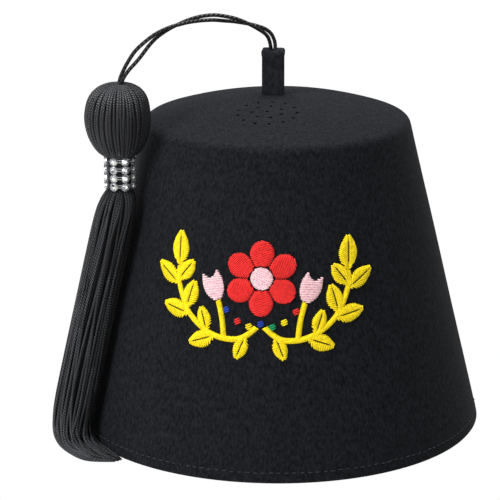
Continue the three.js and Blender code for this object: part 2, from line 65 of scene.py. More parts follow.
def size(name, description, default, **more):
    """A length in millimetres of the real hat, kept in metres."""
    return FloatProperty(name=name, description=description, default=default * MM, unit="LENGTH", **more)


def amount(name, description, default):
    """A share, an angle or another plain number."""
    return FloatProperty(name=name, description=description, default=default)


def how_many(name, description, default):
    """How many there are of something."""
    return IntProperty(name=name, description=description, default=default)


def colour(name, description, default):
    """A colour, kept as its sRGB hex value."""
    return StringProperty(name=name, description=description, default=default)


class FezCrownSizes(bpy.types.PropertyGroup):
    """Sizes of the felt crown."""

    rim_radius: size("Rim radius", "Outside radius at the rim", 92.5)
    top_radius: size("Top radius", "Outside radius where side and top would meet", 59)
    side_height: size("Side height", "Height of that corner above the rim", 138.4)
    edge_radius: size("Edge radius", "Radius of the rounded top edge", 5)
    dome_rise: size("Dome rise", "How far the top would bulge above the side", 9.8)
    felt: size("Felt", "Thickness of the felt", 2.5)
    rim_round: size("Rim rounding", "How far the cut edge of the rim is rounded", 0.7)
    felt_colour: colour("Felt", "Colour of the felt", "#0d0e10")
    nap_colour: colour("Nap", "Colour of the raised fibres", "#1f2125")


class FezVentSizes(bpy.types.PropertyGroup):
    """Sizes of the air holes in the top."""

    diameter: size("Hole", "Width of one air hole", 1.7)
    distance: size("Distance", "From the stalk to the middle of the rings", 27.5)
    ring_radius: size("Ring radius", "Radius of the outermost ring", 13)


class FezStalkSizes(bpy.types.PropertyGroup):
    """Sizes of the folded felt stalk."""

    width: size("Width", "Width of the strip", 9.7)
    height: size("Height", "Height above the crown", 20.5)
    layer: size("Layer", "Thickness of one layer of its felt", 2.2)
    slit: size("Slit", "Gap between the two layers", 0.4)
    offset: size("Offset", "Sideways from the middle of the top", -2)
    back: size("Back", "Behind the middle of the top", 2)
    fold: size("Fold", "Height of the part that the fold bulges", 4)
    swell: size("Swell", "How far the fold stands proud", 0.35)
    felt_colour: colour("Felt", "Colour of the strip", "#18191c")


class FezCordSizes(bpy.types.PropertyGroup):
    """Sizes of the doubled cord."""

    diameter: size("Strand", "Diameter of one strand", 1.7)
    twist_radius: size("Twist radius", "From the middle of the doubled cord to each strand", 1.08)
    eye: amount("Eye", "How much further apart the strands lie in the eye", 0.55)
    half_turns: amount("Half turns", "Half turns along the cord", 3)
    twist_ease: amount("Ease", "Below 1, more turns near the stalk", 0.72)
    azimuth: amount("Azimuth", "Degrees from +X that the cord leaves in", 212.1)
    cord_colour: colour("Cord", "Colour of the cord", "#060607")
    # The colour of its raised yarns is a painted highlight on the crests of the plies
    painted_sheen_colour: colour("Cord light", "Colour of its raised yarns", "#26272b")


class FezTasselSizes(bpy.types.PropertyGroup):
    """Sizes of the tassel."""

    azimuth: amount("Azimuth", "Degrees from +X at which it hangs", 210)
    lean_height: size("Lean height", "Where the skirt first meets the crown", 112.5)
    head_width: size("Head width", "Widest part of the head", 28.8)
    head_height: size("Head height", "From the pole to the neck", 31.6)
    head_lean: size("Head lean", "How far its middle bulges outwards", 0.7)
    neck_radius: size("Neck radius", "Radius of the bound neck", 5.1)
    skirt_width: size("Skirt width", "Across the skirt, round the crown", 19.4)
    skirt_depth: size("Skirt depth", "Through the skirt, out from the crown", 19.2)
    tail_drop: size("Tail drop", "Height at which the skirt starts to turn", 18)
    tail_sweep: size("Tail sweep", "How far its ends are swept along the rim", 34.7)
    head_cords: how_many("Head cords", "Cords laid over the head", 58)
    outer_cords: how_many("Outer cords", "Hanging cords on the outside", 50)
    inner_cords: how_many("Inner cords", "Hanging cords under those", 38)
    cord: size("Head cord", "Diameter of a cord over the head", 1.55)
    hanging: size("Hanging cord", "Diameter of a hanging cord", 1.36)


class FezCollarSizes(bpy.types.PropertyGroup):
    """Sizes of the stone collar."""

    rows: how_many("Rows", "Rows of stones", 4)
    columns: how_many("Columns", "Stones in a row", 8)
    pitch: size("Pitch", "From row to row", 3.75)
    cup_depth: size("Cup depth", "Depth of a cup", 0.95)
    stone_rise: size("Stone rise", "Table of the stone above the cup's lip", 0.6)
    band: size("Band", "Thickness of the bars that link the cups", 0.35)
    silver_colour: colour("Silver", "Colour of the cups", "#dfe2e6")
    # The stone colour is the colour of the painted flashes of its facets
    stone_colour: colour("Stone", "Colour of the foiled glass", "#ffffff")


class FezStitchSizes(bpy.types.PropertyGroup):
    """Sizes and colours of the embroidery."""

    height: size("Height", "Height of the middle of the spray", 80)
    spray_width: size("Spray width", "Width of the spray along the felt", 94)
    spray_height: size("Spray height", "Height of the spray along the felt", 50)
    spacing: size("Spacing", "From stitch to stitch", 0.68)
    thread: size("Thread", "Thickness of a stitch", 0.68)
    rise: size("Rise", "How far the padded middle stands off the felt", 1.15)
    outline: size("Outline", "Thickness of the black outline", 0.6)
    yellow: colour("Yellow", "Yellow thread", "#ffe41d")
    red: colour("Red", "Red thread", "#ea3331")
    pink: colour("Pink", "Pink thread", "#fbcfd4")
    blue: colour("Blue", "Blue thread", "#2b49b4")
    green: colour("Green", "Green thread", "#1f9a63")
    black: colour("Black", "Black thread", "#0c0c0d")


class FezStageSizes(bpy.types.PropertyGroup):
    """The camera, the floor and the lights."""

    azimuth: amount("Azimuth", "Degrees to the right of the front", 5)
    elevation: amount("Elevation", "Degrees above the horizon", 16.38)
    distance: size("Distance", "From the camera to the middle of the hat", 1064.5)
    focal: amount("Focal length", "For a sensor 36 mm wide", 168.93)
    aim: FloatVectorProperty(name="Aim", description="How far right of and above the middle it points",
                             size=2, default=(-0.0121, 0.0015))
    middle: size("Middle", "Height of the middle of the hat", 75)


# The cord's middle in millimetres out from the stalk and above the rim, as the solids have it
CORD_ROUTE = [
    (0, 167.2), (0.2, 170.4), (0.8, 173), (2.1, 175.4), (4.4, 177.4), (7.4, 179),
    (11, 180.6), (15, 182.1), (19.4, 183.5), (24, 184.5), (28.6, 185.3), (33, 185.5),
    (37.4, 185.3), (41.8, 184.7), (46.2, 183.7), (50.4, 182.5), (54.4, 180.9), (58.2, 178.8),
    (61.8, 176), (65, 173), (68, 169.7), (70.8, 166.4), (73, 163), (73.9, 160.7),
]
CORD_STEPS = 90
# Where along the cord its strands part into an eye, and how far the eye spreads
EYE_PLACE, EYE_SPREAD = 0.85, 0.075
# The rest are shares of the sizes above, as the solids have them. The head: down and out
HEAD_OUTLINE = [
    (0.026, 0), (0.018, 0.2), (0.024, 0.4), (0.09, 0.68), (0.22, 0.9), (0.43, 1),
    (0.62, 0.975), (0.79, 0.87), (0.93, 0.69), (1, 0.5),
]
# The hanging skirt: height, width and depth
SKIRT_SECTIONS = [
    (1, 0.62, 0.58), (0.965, 0.94, 0.84), (0.89, 1.08, 0.93), (0.77, 1.06, 0.97),
    (0.5, 1, 1), (0.25, 1.08, 1), (0, 1.22, 0.97),
]
# The swept tail: how far its back and front edges are swept, each with its height, and its depth
TAIL_SECTIONS = [
    (0.005, 0.55, 0.08, 0.6, 0.97), (0.045, 0.29, 0.12, 0.36, 0.97), (0.12, 0.12, 0.19, 0.25, 0.93),
    (0.25, 0.04, 0.31, 0.2, 0.9), (0.42, 0.02, 0.46, 0.18, 0.88), (0.62, 0.02, 0.65, 0.16, 0.865),
    (0.82, 0.02, 0.83, 0.14, 0.77), (0.985, 0.03, 0.985, 0.1, 0.43),
]
# Holes in each ring, and the ring's radius
VENT_RINGS = [(1, 0), (7, 0.52), (13, 1)]
# Across and up from the middle of the drawing
STEM_ROUTE = [(0.03, -0.62), (0.2, -0.84), (0.45, -0.8), (0.68, -0.5), (0.8, -0.02), (0.8, 0.3)]
# Each leaf: its place along the stem, its turn in degrees from the stem, and its size
LEAVES = [
    (0.14, -36, 0.72), (0.38, -38, 0.85), (0.44, 46, 0.72), (0.6, -40, 0.9),
    (0.64, 48, 0.85), (0.8, -42, 0.9), (0.83, 46, 0.8), (0.98, -3, 1),
]
# The bud's stalk, drawn in the same shares, and the bud's turn in degrees
BUD_STALK = [(0.34, -0.84), (0.36, -0.5), (0.4, -0.2)]
BUD_TURN = 70
# Sizes of the single flower, stem, leaf and bud
FLOWER_RADIUS, FLOWER_RISE, HEART_RADIUS = 16 * MM, 5 * MM, 4.8 * MM
STEM_WIDTH, LEAF_LENGTH, LEAF_WIDTH = 2.2 * MM, 15.5 * MM, 8 * MM
BUD_LENGTH, BUD_WIDTH = 12 * MM, 9 * MM


def linear(hex_colour):
    """An sRGB hex colour as linear red, green, blue and alpha."""
    parts = [int(hex_colour[i:i + 2], 16) / 255 for i in (1, 3, 5)]
    return (*[p / 12.92 if p <= 0.04045 else ((p + 0.055) / 1.055) ** 2.4 for p in parts], 1)


def fill(node, inputs):
    """Links or sets inputs of a shader node. A node stands for its first output."""
    for name, value in inputs.items():
        value = value.outputs[0] if isinstance(value, bpy.types.Node) else value
        if isinstance(value, bpy.types.NodeSocket):
            node.id_data.links.new(value, node.inputs[name])
        else:
            node.inputs[name].default_value = value


def darker(hex_colour, share):
    """An sRGB hex colour as a linear one with a share of its light."""
    return (*[part * share for part in linear(hex_colour)[:3]], 1)


def add_node(material, kind, inputs, **settings):
    """Adds a shader node with its settings and its inputs."""
    new = material.node_tree.nodes.new(kind)
    for name, value in settings.items():
        setattr(new, name, value)
    fill(new, inputs)
    return new


def new_material(name):
    """A material with only its Principled surface, and that surface."""
    material = bpy.data.materials.new(name)
    material.use_nodes = True
    return material, material.node_tree.nodes["Principled BSDF"]


def smooth_line(points, count):
    """Points spaced evenly by length along a smooth line through the given ones."""
    dense = []
    last = len(points) - 1
    for i in range(last):
        before, start, end, after = (points[max(0, min(last, i + k))] for k in (-1, 0, 1, 2))
        for k in range(16):
            dense.append(catmull(before, start, end, after, k / 16))
    dense.append(points[-1].copy())
    runs = [0.0]
    for a, b in zip(dense, dense[1:]):
        runs.append(runs[-1] + (b - a).length)
    line, at = [], 0
    for k in range(count):
        want = runs[-1] * k / (count - 1)
        while at < len(dense) - 2 and runs[at + 1] < want:
            at += 1
        step = runs[at + 1] - runs[at]
        line.append(dense[at].lerp(dense[at + 1], (want - runs[at]) / step if step else 0))
    return line


def catmull(before, start, end, after, t):
    """A point between start and end on a smooth curve through all four."""
    return 0.5 * ((2 * start) + (end - before) * t + (2 * before - 5 * start + 4 * end - after) * t * t
                  + (3 * start - before - 3 * end + after) * t ** 3)


def on_sections(sections, share):
    """A row of numbers between the rows of a table, smoothly, at a share of the way down."""
    last = len(sections) - 1
    at = min(int(share * last), last - 1)
    rows = [Vector(sections[max(0, min(last, at + k))]) for k in (-1, 0, 1, 2)]
    return catmull(*rows, share * last - at)


def placed(name, data):
    """A new object of a mesh, a camera or a light, in the scene."""
    thing = bpy.data.objects.new(name, data)
    bpy.context.scene.collection.objects.link(thing)
    return thing


def make_piece(name, mesh, material, replaced=()):
    """Puts a mesh in the scene as a piece of the hat with its material."""
    mesh.materials.append(material)
    piece = placed(name, mesh)
    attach(piece, "root")
    if replaced:
        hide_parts(*replaced)
    return piece


def shaded(mesh, sharp=40):
    """The mesh shaded smooth, but for edges sharper than an angle in degrees."""
    mesh.shade_smooth()
    mesh.set_sharp_from_angle(angle=math.radians(sharp))
    return mesh


def mesh_from(bm, name, sharp=40):
    """A shaded mesh of a bmesh, which is used up."""
    mesh = bpy.data.meshes.new(name)
    bm.to_mesh(mesh)
    bm.free()
    return shaded(mesh, sharp)


def among(made, kind):
    """The vertices or the faces among what an operator made."""
    return [item for item in made["geom"] if isinstance(item, kind)]


def threads(name, lines, diameter, sides=1, draws=None):
    """One mesh of many closed threads, each given as (point, share of the diameter) along it.
    With draws, which needs threads of equally many points, each has V coordinates of its own."""
    curve = bpy.data.curves.new(name, "CURVE")
    curve.dimensions = "3D"
    curve.bevel_depth = diameter / 2
    curve.bevel_resolution = sides
    curve.resolution_u = 1
    curve.use_fill_caps = True
    for line in lines:
        spline = curve.splines.new("POLY")
        spline.points.add(len(line) - 1)
        for point, (place, share) in zip(spline.points, line):
            point.co = (*place, 1)
            point.radius = share
    holder = bpy.data.objects.new(name, curve)
    mesh = bpy.data.meshes.new_from_object(holder)
    bpy.data.objects.remove(holder)
    bpy.data.curves.remove(curve)
    bm = bmesh.new()
    bm.from_mesh(mesh)
    bmesh.ops.remove_doubles(bm, verts=bm.verts, dist=TOUCHING)
    bm.to_mesh(mesh)
    bm.free()
    if draws:
        each = len(mesh.polygons) // len(lines)
        starts = [number * 2 + draws.random() for number in range(len(lines))]
        layer = mesh.uv_layers.active.data
        for face in mesh.polygons:
            for corner in face.loop_indices:
                layer[corner].uv.y += starts[face.index // each]
    mesh.shade_smooth()
    return mesh


def spun(profile, steps):
    """A bmesh of a profile of (radius, height), open at the axis, turned all the way round."""
    bm = bmesh.new()
    corners = [bm.verts.new((radius, 0, height)) for radius, height in profile]
    edges = [bm.edges.new(pair) for pair in zip(corners, corners[1:])]
    bmesh.ops.spin(bm, geom=corners + edges, axis=(0, 0, 1), cent=(0, 0, 0), steps=steps,
                   angle=2 * math.pi, use_merge=True)
    bmesh.ops.remove_doubles(bm, verts=bm.verts, dist=10 * TOUCHING)
    bmesh.ops.recalc_face_normals(bm, faces=bm.faces)
    return bm


def whole(bm):
    """All of a bmesh, for an operator."""
    return bm.verts[:] + bm.edges[:] + bm.faces[:]


def curve_between(start, bend, end, count):
    """Points of a bow from start to end that leaves both towards bend."""
    shares = [k / count for k in range(count + 1)]
    return [start.lerp(bend, share).lerp(bend.lerp(end, share), share) for share in shares]


def line_length(line):
    """The length of a line through points."""
    return sum((b - a).length for a, b in zip(line, line[1:]))


def applied(piece, kinds):
    """The piece's mesh with a list of (modifier kind, settings) applied."""
    for kind, settings in kinds:
        modifier = piece.modifiers.new(kind.title(), kind)
        for name, value in settings.items():
            setattr(modifier, name, value)
    bpy.context.view_layer.update()
    graph = bpy.context.evaluated_depsgraph_get()
    mesh = bpy.data.meshes.new_from_object(piece.evaluated_get(graph))
    piece.modifiers.clear()
    return mesh


def cut_by(tool):
    """The modifier that cuts a piece with another object, for applied."""
    return "BOOLEAN", {"object": tool, "operation": "DIFFERENCE", "solver": "EXACT"}


def sewn(name, lines, thickness, finish, replaced=()):
    """Makes a piece of many stitches."""
    make_piece(name, threads(name, lines, thickness, 2), finish, replaced)


def felt(name, base, nap):
    """Stiffened wool felt, steamed and blocked, its nap brushed upright: matt, with short vertical
    fibres that catch a little light."""
    material, surface = new_material(name)
    place = add_node(material, "ShaderNodeTexCoord", {}).outputs["Object"]
    # A wool fibre, 0.03 mm thick, is too fine to show: these are tufts, 1 mm wide and 2.4 mm tall
    upright = add_node(material, "ShaderNodeMapping", {"Vector": place, "Scale": (1, 1, 0.4)})
    fibres = add_node(material, "ShaderNodeTexNoise", {
        "Vector": upright, "Scale": 1050, "Detail": 4, "Roughness": 0.75})
    # Faint cloudy patches 2.4 mm across
    patches = add_node(material, "ShaderNodeTexNoise", {"Vector": place, "Scale": 420, "Detail": 2})
    tone = add_node(material, "ShaderNodeMath", {0: patches, 1: 0.22, 2: fibres}, operation="MULTIPLY_ADD")
    spread = add_node(material, "ShaderNodeValToRGB", {0: tone})
    for stop, at, tint in zip(spread.color_ramp.elements, (0.475, 0.755), (base, nap)):
        stop.position = at
        stop.color = linear(tint)
    bump = add_node(material, "ShaderNodeBump", {"Height": fibres, "Strength": 0.8, "Distance": 0.3 * MM})
    fill(surface, {"Base Color": spread, "Normal": bump, "Roughness": 0.92,
                   "Specular IOR Level": 0.05, "Sheen Weight": 0.012, "Sheen Roughness": 0.5})
    return material


def rayon(name, base, light, turns, plies=2, roughness=0.4, faintest_highlight=0.4):
    """Viscose rayon cord, its plies twisted hard: silky, with the crest of each ply painted lighter, a
    painted highlight in fine slanting lines round each cord;
    light is the colour of that painted highlight, and each cord of a tassel gets it at a strength of its
    own, drawn at random."""
    material, surface = new_material(name)
    round_it = add_node(material, "ShaderNodeTexCoord", {}).outputs["UV"]
    twist = (2 * math.pi * turns, 2 * math.pi * plies, 0)
    slant = add_node(material, "ShaderNodeVectorMath", {0: round_it, 1: twist},
                     operation="DOT_PRODUCT").outputs["Value"]
    ply = add_node(material, "ShaderNodeMath", {0: slant}, operation="SINE")
    ply = add_node(material, "ShaderNodeMath", {0: ply, 1: 0.5, 2: 0.5}, operation="MULTIPLY_ADD")
    # Painted highlight: the crest of each ply drawn lighter, narrowed by squaring
    painted_crest_highlight = add_node(material, "ShaderNodeMath", {0: ply, 1: 2}, operation="POWER")
    # Two units of V stand between one cord and the next, so half of V tells them apart
    number = add_node(material, "ShaderNodeSeparateXYZ", {0: round_it}).outputs["Y"]
    number = add_node(material, "ShaderNodeMath", {0: number, 1: 0.5}, operation="MULTIPLY")
    number = add_node(material, "ShaderNodeMath", {0: number}, operation="FLOOR")
    each = add_node(material, "ShaderNodeTexWhiteNoise", {"W": number},
                    noise_dimensions="1D").outputs["Value"]
    # Each cord's painted highlight is scaled by a share drawn at random
    highlight_strength = add_node(material, "ShaderNodeMapRange", {"Value": each, "To Min": faintest_highlight, "To Max": 1})
    tone = add_node(material, "ShaderNodeMath", {0: painted_crest_highlight, 1: highlight_strength}, operation="MULTIPLY")
    # The ramp runs from the cord's own colour to the colour of the painted highlight
    spread = add_node(material, "ShaderNodeValToRGB", {0: tone})
    for stop, tint in zip(spread.color_ramp.elements, (base, light)):
        stop.color = linear(tint)
    bump = add_node(material, "ShaderNodeBump", {"Height": ply, "Strength": 1, "Distance": 0.3 * MM})
    fill(surface, {"Base Color": spread, "Normal": bump, "Roughness": roughness,
                   "Specular IOR Level": 0.3})
    return material


def silver():
    """Stamped brass cups, rhodium plated: bright and hard, with soft press marks."""
    material, surface = new_material("rhodium_plated_cups")
    place = add_node(material, "ShaderNodeTexCoord", {}).outputs["Object"]
    # Press marks about 0.4 mm across
    marks = add_node(material, "ShaderNodeTexNoise", {"Vector": place, "Scale": 2500, "Detail": 2})
    rough = add_node(material, "ShaderNodeMapRange", {"Value": marks, "To Min": 0.15, "To Max": 0.38})
    bump = add_node(material, "ShaderNodeBump", {"Height": marks, "Strength": 0.3, "Distance": 0.1 * MM})
    fill(surface, {"Base Color": linear(bpy.context.scene.fez_collar.silver_colour), "Metallic": 1,
                   "Roughness": rough, "Normal": bump})
    return material


def foiled_glass():
    """Machine-cut glass with a silver foil on its back: each facet flashes or goes dark as a whole, a
    painted reflection in its colour.
    """
    material, surface = new_material("foiled_cut_glass")
    place = add_node(material, "ShaderNodeTexCoord", {}).outputs["Object"]
    # Painted reflections of the cut back, each about 1 mm across: patches painted white or dark grey
    painted_flashes = add_node(material, "ShaderNodeTexVoronoi", {"Vector": place, "Scale": 900}).outputs["Color"]
    spread = add_node(material, "ShaderNodeValToRGB", {0: painted_flashes})
    # Dark grey for the facets painted dark, the stone colour for those painted as flashes
    tints = ("#4d5056", bpy.context.scene.fez_collar.stone_colour)
    for stop, at, tint in zip(spread.color_ramp.elements, (0.2, 0.42), tints):
        stop.position = at
        stop.color = linear(tint)
    fill(surface, {"Base Color": spread, "Metallic": 0.75, "Roughness": 0.1,
                   "Coat Weight": 1, "Coat Roughness": 0.02})
    return material


def embroidery_thread(name, hex_colour):
    """Trilobal polyester thread: bright and smooth, with a soft light along each stitch."""
    material, surface = new_material(name)
    place = add_node(material, "ShaderNodeTexCoord", {}).outputs["Object"]
    # The shade wanders from stitch to stitch, about 1 mm apart
    wander = add_node(material, "ShaderNodeTexNoise", {"Vector": place, "Scale": 900, "Detail": 2})
    spread = add_node(material, "ShaderNodeValToRGB", {0: wander})
    for stop, at, share in zip(spread.color_ramp.elements, (0.3, 0.62), (0.74, 1)):
        stop.position = at
        stop.color = darker(hex_colour, share)
    fill(surface, {"Base Color": spread, "Roughness": 0.55, "Specular IOR Level": 0.12})
    return material


def matt(name, hex_colour, roughness, scale):
    """Wound or packed black yarn seen in the gaps between cords: matt, with a faint mottle."""
    material, surface = new_material(name)
    place = add_node(material, "ShaderNodeTexCoord", {}).outputs["Object"]
    mottle = add_node(material, "ShaderNodeTexNoise", {"Vector": place, "Scale": scale, "Detail": 3})
    spread = add_node(material, "ShaderNodeValToRGB", {0: mottle})
    for stop, share in zip(spread.color_ramp.elements, (0.96, 1)):
        stop.color = darker(hex_colour, share)
    bump = add_node(material, "ShaderNodeBump", {"Height": mottle, "Strength": 0.2, "Distance": 0.2 * MM})
    fill(surface, {"Base Color": spread, "Normal": bump, "Roughness": roughness})
    return material


def lit_table():
    """A white table lit from below, so that nothing casts a shadow on it."""
    material, surface = new_material("lit_white_table")
    fill(surface, {"Base Color": linear("#000000"), "Specular IOR Level": 0,
                   "Emission Color": linear("#ffffff"), "Emission Strength": 1.02})
    return material


def crown_outline(sizes, inset, detail):
    """The crown's outline moved in by inset, from the axis at the top down to the rim."""
    side = Vector((sizes.top_radius - sizes.rim_radius, sizes.side_height)).normalized()
    top = Vector((-1, 2 * sizes.dome_rise / sizes.top_radius)).normalized()
    side_out, top_out = Vector((side.y, -side.x)), Vector((top.y, -top.x))
    corner = Vector((sizes.top_radius, sizes.side_height))
    corner -= (side_out + top_out) * inset / (1 + side_out.dot(top_out))
    edge = max(sizes.edge_radius - inset, sizes.felt / 2)
    tangent = edge * math.tan(side.angle(top) / 2)
    below, above = corner - side * tangent, corner + top * tangent
    apex = above.y + above.x * sizes.dome_rise / sizes.top_radius
    dome = curve_between(Vector((0, apex)), Vector((above.x / 2, apex)), above, detail)
    rounded = curve_between(above, corner, below, detail // 2)
    rim = Vector((sizes.rim_radius - inset / side_out.x, 0))
    return dome[:-1] + rounded[:-1] + [below.lerp(rim, k / detail) for k in range(detail + 1)]


def side_radius(height):
    """Outside radius of the crown's side at a height."""
    sizes = bpy.context.scene.fez_crown
    return sizes.rim_radius + (sizes.top_radius - sizes.rim_radius) * height / sizes.side_height


def side_slope():
    """Angle of the crown's side from upright."""
    sizes = bpy.context.scene.fez_crown
    return math.atan2(sizes.rim_radius - sizes.top_radius, sizes.side_height)


def crown_apex():
    """Height of the middle of the top."""
    return crown_outline(bpy.context.scene.fez_crown, 0, 4)[0].y


def tassel_levels():
    """Where the tassel hangs: its distance from the felt and from the hat's axis, and the heights at
    which its head, its collar and its skirt start."""
    tassel, collar = bpy.context.scene.fez_tassel, bpy.context.scene.fez_collar
    stand = (tassel.skirt_depth / 2 + CLEARANCE) / math.cos(side_slope())
    cord_end = CORD_ROUTE[-1][1] * MM - CLEARANCE - bpy.context.scene.fez_cord.diameter / 4
    head_top = cord_end + HEAD_OUTLINE[0][0] * tassel.head_height
    collar_top = head_top - tassel.head_height - CLEARANCE
    return SimpleNamespace(
        stand=stand, hang=side_radius(tassel.lean_height) + stand, head_top=head_top,
        collar_top=collar_top, skirt_top=collar_top - collar.rows * collar.pitch - CLEARANCE)


def hung(point):
    """A point of the tassel's own plane, turned to where the tassel hangs."""
    return Matrix.Rotation(math.radians(bpy.context.scene.fez_tassel.azimuth), 3, "Z") @ Vector(point)


def make_stage(sizes):
    """The camera, the floor, the lights and the white surroundings."""
    scene = bpy.context.scene
    across, up = math.radians(sizes.azimuth), math.radians(sizes.elevation)
    middle = UP * sizes.middle
    away = Vector((math.cos(up) * math.sin(across), -math.cos(up) * math.cos(across), math.sin(up)))
    right = Vector((math.cos(across), math.sin(across), 0))
    aim = middle + right * sizes.aim[0] + away.cross(right) * sizes.aim[1]
    lens = bpy.data.cameras.new("camera")
    lens.lens = sizes.focal
    lens.sensor_width = 36
    lens.clip_end = 10
    camera = placed("camera", lens)
    camera.location = middle + away * sizes.distance
    camera.rotation_euler = (aim - camera.location).to_track_quat("-Z", "Y").to_euler()
    scene.camera = camera
    bm = bmesh.new()
    bmesh.ops.create_grid(bm, x_segments=1, y_segments=1, size=4)
    mesh = mesh_from(bm, "floor")
    mesh.materials.append(lit_table())
    floor = placed("floor", mesh)
    # A broad soft light over the hat, and a smaller one from the left of the camera
    for name, place, width, power, aimed in (
        ("top", (-0.1, 0.25, 1.35), 1, 34, 0.1 * UP),
        ("key", (-0.95, -0.95, 0.65), 0.6, 17.4, 0.08 * UP),
    ):
        light = bpy.data.lights.new(name, "AREA")
        light.shape = "SQUARE"
        light.size = width
        light.energy = power
        lamp = placed(name, light)
        lamp.location = place
        lamp.rotation_euler = (aimed - lamp.location).to_track_quat("-Z", "Y").to_euler()
    world = bpy.data.worlds.new("white_room")
    world.use_nodes = True
    fill(world.node_tree.nodes["Background"], {"Color": linear("#ffffff"), "Strength": 0.3})
    scene.world = world
    scene.view_settings.view_transform = "Standard"
    scene.view_settings.look = "None"


def cord_lines(cord, stalk):
    """The two strands' own lines: wound round the middle of the doubled cord."""
    heading = Matrix.Rotation(math.radians(cord.azimuth), 3, "Z") @ Vector((1, 0, 0))
    across = UP.cross(heading)
    foot = Vector((stalk.offset, stalk.back, 0))
    route = [foot + heading * along * MM + UP * height * MM for along, height in CORD_ROUTE]
    middle = smooth_line(route, CORD_STEPS + 1)
    strands = []
    for phase in (0, math.pi):
        line = []
        for k, point in enumerate(middle):
            share = k / CORD_STEPS
            angle = phase + share ** cord.twist_ease * cord.half_turns * math.pi
            along = (middle[min(k + 1, CORD_STEPS)] - middle[max(k - 1, 0)]).normalized()
            outward = along.cross(across)
            opening = cord.eye * math.exp(-((share - EYE_PLACE) / EYE_SPREAD) ** 2)
            side = across * math.cos(angle) + outward * math.sin(angle)
            line.append(point + side * (cord.twist_radius * (1 + opening)))
        strands.append(line)
    return strands


def make_cord(cord, stalk):
    """The doubled cord: two twisted strands in an arch from the stalk to the tassel's head."""
    turn_length = 2.1 * MM
    for number, line in enumerate(cord_lines(cord, stalk), 1):
        length = line_length(line)
        # The cord's own black, then the painted highlight on the crests of its plies
        finish = rayon(f"twisted_cord_{number}", cord.cord_colour, cord.painted_sheen_colour,
                       length / turn_length, plies=3)
        mesh = threads(f"strand_{number}", [[(point, 1) for point in line]], cord.diameter, 4)
        piece = make_piece(f"strand_{number}", mesh, finish, [f"cord_strand_{number}"])


def make_crown(sizes, vents, stalk):
    """The felt crown, one skin from the top over the rim to the inside, with its air holes."""
    outside = crown_outline(sizes, 0, 16)
    inside = crown_outline(sizes, sizes.felt, 16)
    round_off = sizes.rim_round
    rim = [
        outside[-1].lerp(outside[-2], round_off / (outside[-2] - outside[-1]).length),
        outside[-1] + Vector((-round_off, 0)),
        inside[-1] + Vector((round_off, 0)),
        inside[-1].lerp(inside[-2], round_off / (inside[-2] - inside[-1]).length),
    ]
    bm = spun([*outside[:-1], *rim, *inside[-2::-1]], 160)
    # Blocked felt is a little uneven: waves about 36 mm long, but none at the rim, which stays level
    for vert in bm.verts:
        if vert.co.z > 2 * MM:
            vert.co += vert.normal * noise.noise(vert.co * 28) * 0.12 * MM
    crown = placed("crown_skin", mesh_from(bm, "crown_skin"))
    bm = bmesh.new()
    apex = crown_apex()
    for count, out in VENT_RINGS:
        for k in range(count):
            # The share of the radius also turns the ring, in radians, so that no holes line up
            angle = k / count * 2 * math.pi + out
            reach = out * vents.ring_radius
            place = Matrix.Translation((stalk.offset + reach * math.cos(angle),
                                        stalk.back - vents.distance + reach * math.sin(angle), apex))
            bmesh.ops.create_cone(bm, cap_ends=True, segments=12, radius1=vents.diameter / 2,
                                  radius2=vents.diameter / 2, depth=20 * MM, matrix=place)
    punch = placed("punch", mesh_from(bm, "punch"))
    mesh = shaded(applied(crown, [cut_by(punch)]))
    bpy.data.objects.remove(punch)
    bpy.data.objects.remove(crown)
    finish = felt("blocked_wool_felt", sizes.felt_colour, sizes.nap_colour)
    make_piece("felt_crown", mesh, finish, ["crown"])


def make_rim_stitches(sizes):
    """One row of short grey-black stitches round the rim, close to its cut edge: black thread drawn grey as
    painted sheen.
    """
    pitch, length, level = 3.4 * MM, 1.9 * MM, 4.5 * MM
    draws = random.Random(5)
    count = round(2 * math.pi * sizes.rim_radius / pitch)
    lines = []
    for k in range(count):
        height = level + draws.uniform(-0.15, 0.15) * MM
        radius = side_radius(height) + draws.uniform(-0.12, 0.1) * MM
        line = []
        for along in (-0.5, -0.2, 0.2, 0.5):
            angle = (k + draws.uniform(-0.08, 0.08)) / count * 2 * math.pi + along * length / radius
            place = Vector((radius * math.cos(angle), radius * math.sin(angle), height))
            line.append((place, 1 - 1.4 * along * along))
        lines.append(line)
    # The grey is painted sheen for the glints of thread that is as black as the felt
    sewn("rim_stitches", lines, 0.5 * MM, embroidery_thread("black_sewing_thread", "#313338"))


